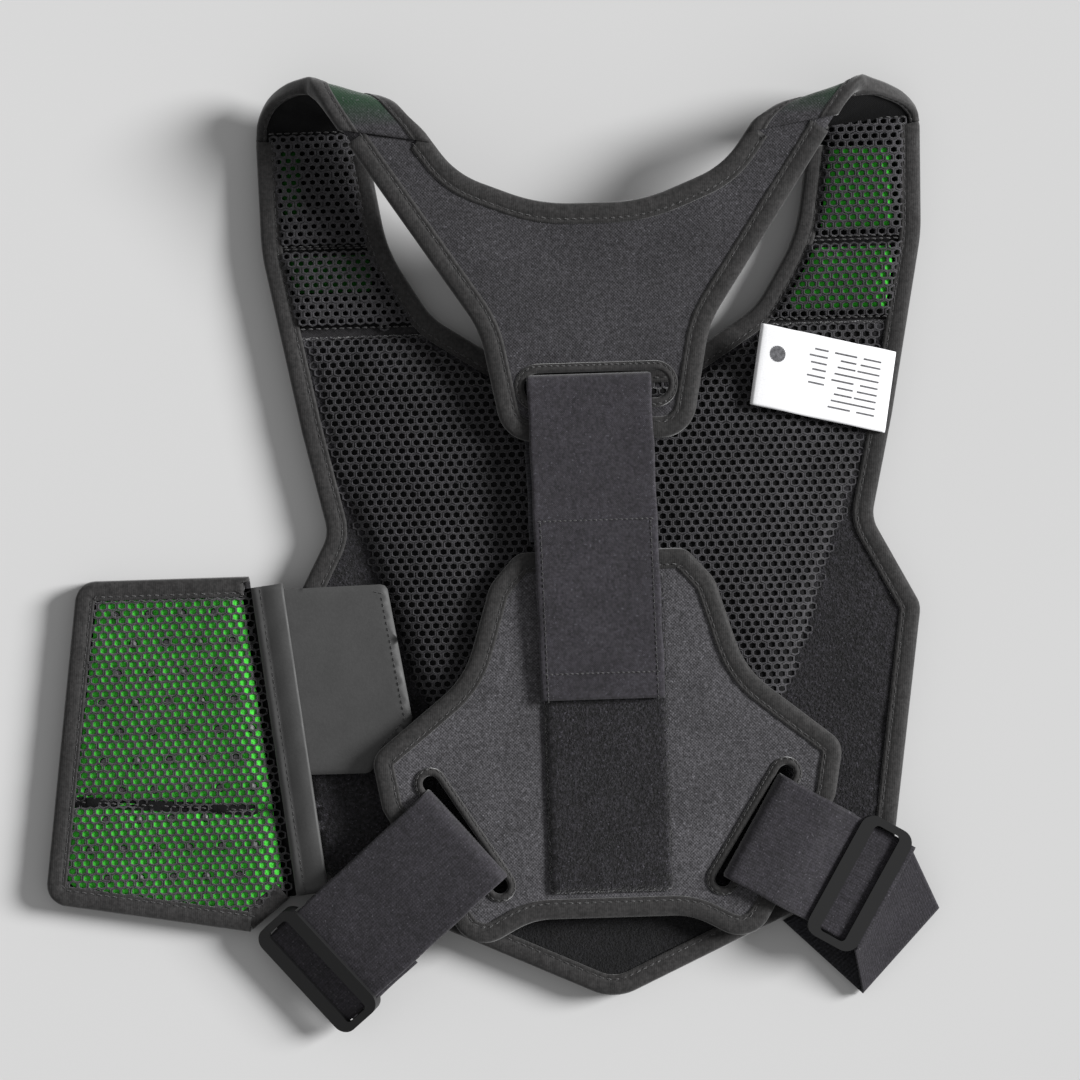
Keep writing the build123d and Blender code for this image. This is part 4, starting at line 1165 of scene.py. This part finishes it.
tab_tilt = math.cos(math.radians(8))
tab_corners = [(-6.5, -17), (42, -16), (51.5, -75), (32, -97), (2.5, -97)]
tab = rounded([(-134 + x * tab_tilt, y) for x, y in tab_corners], [1, 3, 3, 4, 1])
tab_piece = solid("wing_tab_face", tab,
                  lambda p, d: tab_low(p) + 0.1 + 0.6 * ramp(d, 2.5) + 0.08 * wave(p, 22, 8) * ramp(d, 9),
                  tab_low, tab_cloth, 3.0)
dress(tab_piece, "wing_joint", "tab_fabric", "wing_tab")
xy = inset(tab, 3.2)
xy = xy[xy[:, 0] > -98]
stitch("wing_joint", np.column_stack([xy, tab_low(xy) + 0.72]), 2.6, 1.9, 0.4)
hooks = rounded([(-122, -26), (-108, -26), (-103, -82), (-120, -82)], 3)
hook_piece = solid("wing_tab_hooks", hooks, lambda p, d: tab_low(p) - 0.1, lambda p, d: tab_low(p) - 1.1,
                   hook_cloth)
dress(hook_piece, "wing_joint", "hook_tape", "wing_hook_patch")

# ---------------------------------------------------------------- care label
LABEL_W, LABEL_ACROSS = 35.0, np.array([-6, -35, 0.0])
label_loop = [(126.5, 59.6, 12.6), (118, 61.6, 15.4), (100, 65.8, 19.6), (82, 70.2, 23.2), (69.5, 73.2, 24.9),
              (68.2, 73.5, 24.2), (69.5, 73.2, 23.4), (84, 69.7, 21.4), (100, 65.8, 17.8), (118, 61.6, 13.4),
              (126.2, 59.6, 12.0)]
label_piece, label_line = ribbon("label_satin", label_loop, LABEL_ACROSS, LABEL_W, 0.35, label_cloth, 20, 0.01)
dress(label_piece, "care_label", "label_satin", "care_label")
upper_line = label_line[:len(label_line) // 2 - 2]
upper_travel = travel(upper_line)
verts, faces = [], []


def dash(s0, s1, v0, v1):
    """A printed mark on the label's upper face, from s0 to s1 along it and v0 to v1 across."""
    base = len(verts)
    for s in np.linspace(s0, s1, 5):
        p = np.array([np.interp(s, upper_travel, upper_line[:, i]) for i in range(3)])
        for v in (v0, v1):
            verts.append(p + LABEL_ACROSS / np.linalg.norm(LABEL_ACROSS) * v + np.array([0, 0, 0.3]))
    for a in range(base, base + 8, 2):
        faces.append((a, a + 1, a + 3, a + 2))


for r in range(9):
    v = -12 + r * 2.9
    for s0, s1 in ((6, 14 + (r * 5) % 4), (17, 27 - (r * 3) % 4), (30, 36 + (r * 2) % 3)):
        if r <= 5 or s1 <= 34:
            dash(s0, s1, v, v + 0.7)
DISC_S, DISC_V, DISC_R, DISC_BARS = 52.0, -6.0, 3.4, 12
for k in range(DISC_BARS):
    a0, a1 = math.pi * k / DISC_BARS, math.pi * (k + 1) / DISC_BARS
    half = DISC_R * math.sin((a0 + a1) / 2)
    dash(DISC_S + DISC_R * math.cos(a1), DISC_S + DISC_R * math.cos(a0), DISC_V - half, DISC_V + half)
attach(make("label_print", verts, faces, ink, smooth=False), "care_label")

# ---------------------------------------------------------------- threads
for body, (verts, faces) in threads.items():
    piece = make(f"stitching_{body}", verts, faces, thread)
    if body.startswith("fold_"):
        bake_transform(piece)
    else:
        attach(piece, body)

# ---------------------------------------------------------------- floor, light, camera
FLOOR_HALF = 4000
floor_paint = Paint("floor_paint", Specular_IOR_Level=0.1)
tone = floor_paint.span(floor_paint.noise(300.0, 2.0), 0.3, 0.7, 0.685, 0.7)
mix = floor_paint.node("ShaderNodeCombineColor")
for i in range(3):
    floor_paint.put(mix.inputs[i], tone)
floor_mat = floor_paint.finish(mix.outputs[0], 0.9, floor_paint.noise(2.0), 0.02, 0.05)
corners = [(-1, -1), (1, -1), (1, 1), (-1, 1)]
floor = make("floor", [(x * FLOOR_HALF, y * FLOOR_HALF, -0.3) for x, y in corners], [(0, 1, 2, 3)], floor_mat)

world = bpy.data.worlds.new("studio")
scene.world = world
world.use_nodes = True
backdrop = world.node_tree.nodes["Background"]
backdrop.inputs["Color"].default_value = (1, 1, 1, 1)
backdrop.inputs["Strength"].default_value = 0.3

sun_data = bpy.data.lights.new("key", "SUN")
sun_data.energy = 4.7
sun_data.angle = math.radians(20)
sun = bpy.data.objects.new("key", sun_data)
sun.location = (1.0, 0.22, 0.53)
sun.rotation_euler = (-sun.location).to_track_quat("-Z", "Y").to_euler()
scene.collection.objects.link(sun)

# The camera looks straight down, turned by THETA degrees, and takes in WIDTH metres round VIEW.
THETA = -1.79
VIEW = Vector((-0.02604, 0.00081, 0.012))
WIDTH = 0.4644
camera_data = bpy.data.cameras.new("camera")
camera_data.lens = 200
camera_data.clip_end = 20
camera = bpy.data.objects.new("camera", camera_data)
camera.location = VIEW + Vector((0, 0, WIDTH * camera_data.lens / camera_data.sensor_width))
camera.rotation_euler = (0, 0, math.radians(THETA))
scene.collection.objects.link(camera)
scene.camera = camera
scene.view_settings.view_transform = "Standard"

bpy.context.view_layer.update()
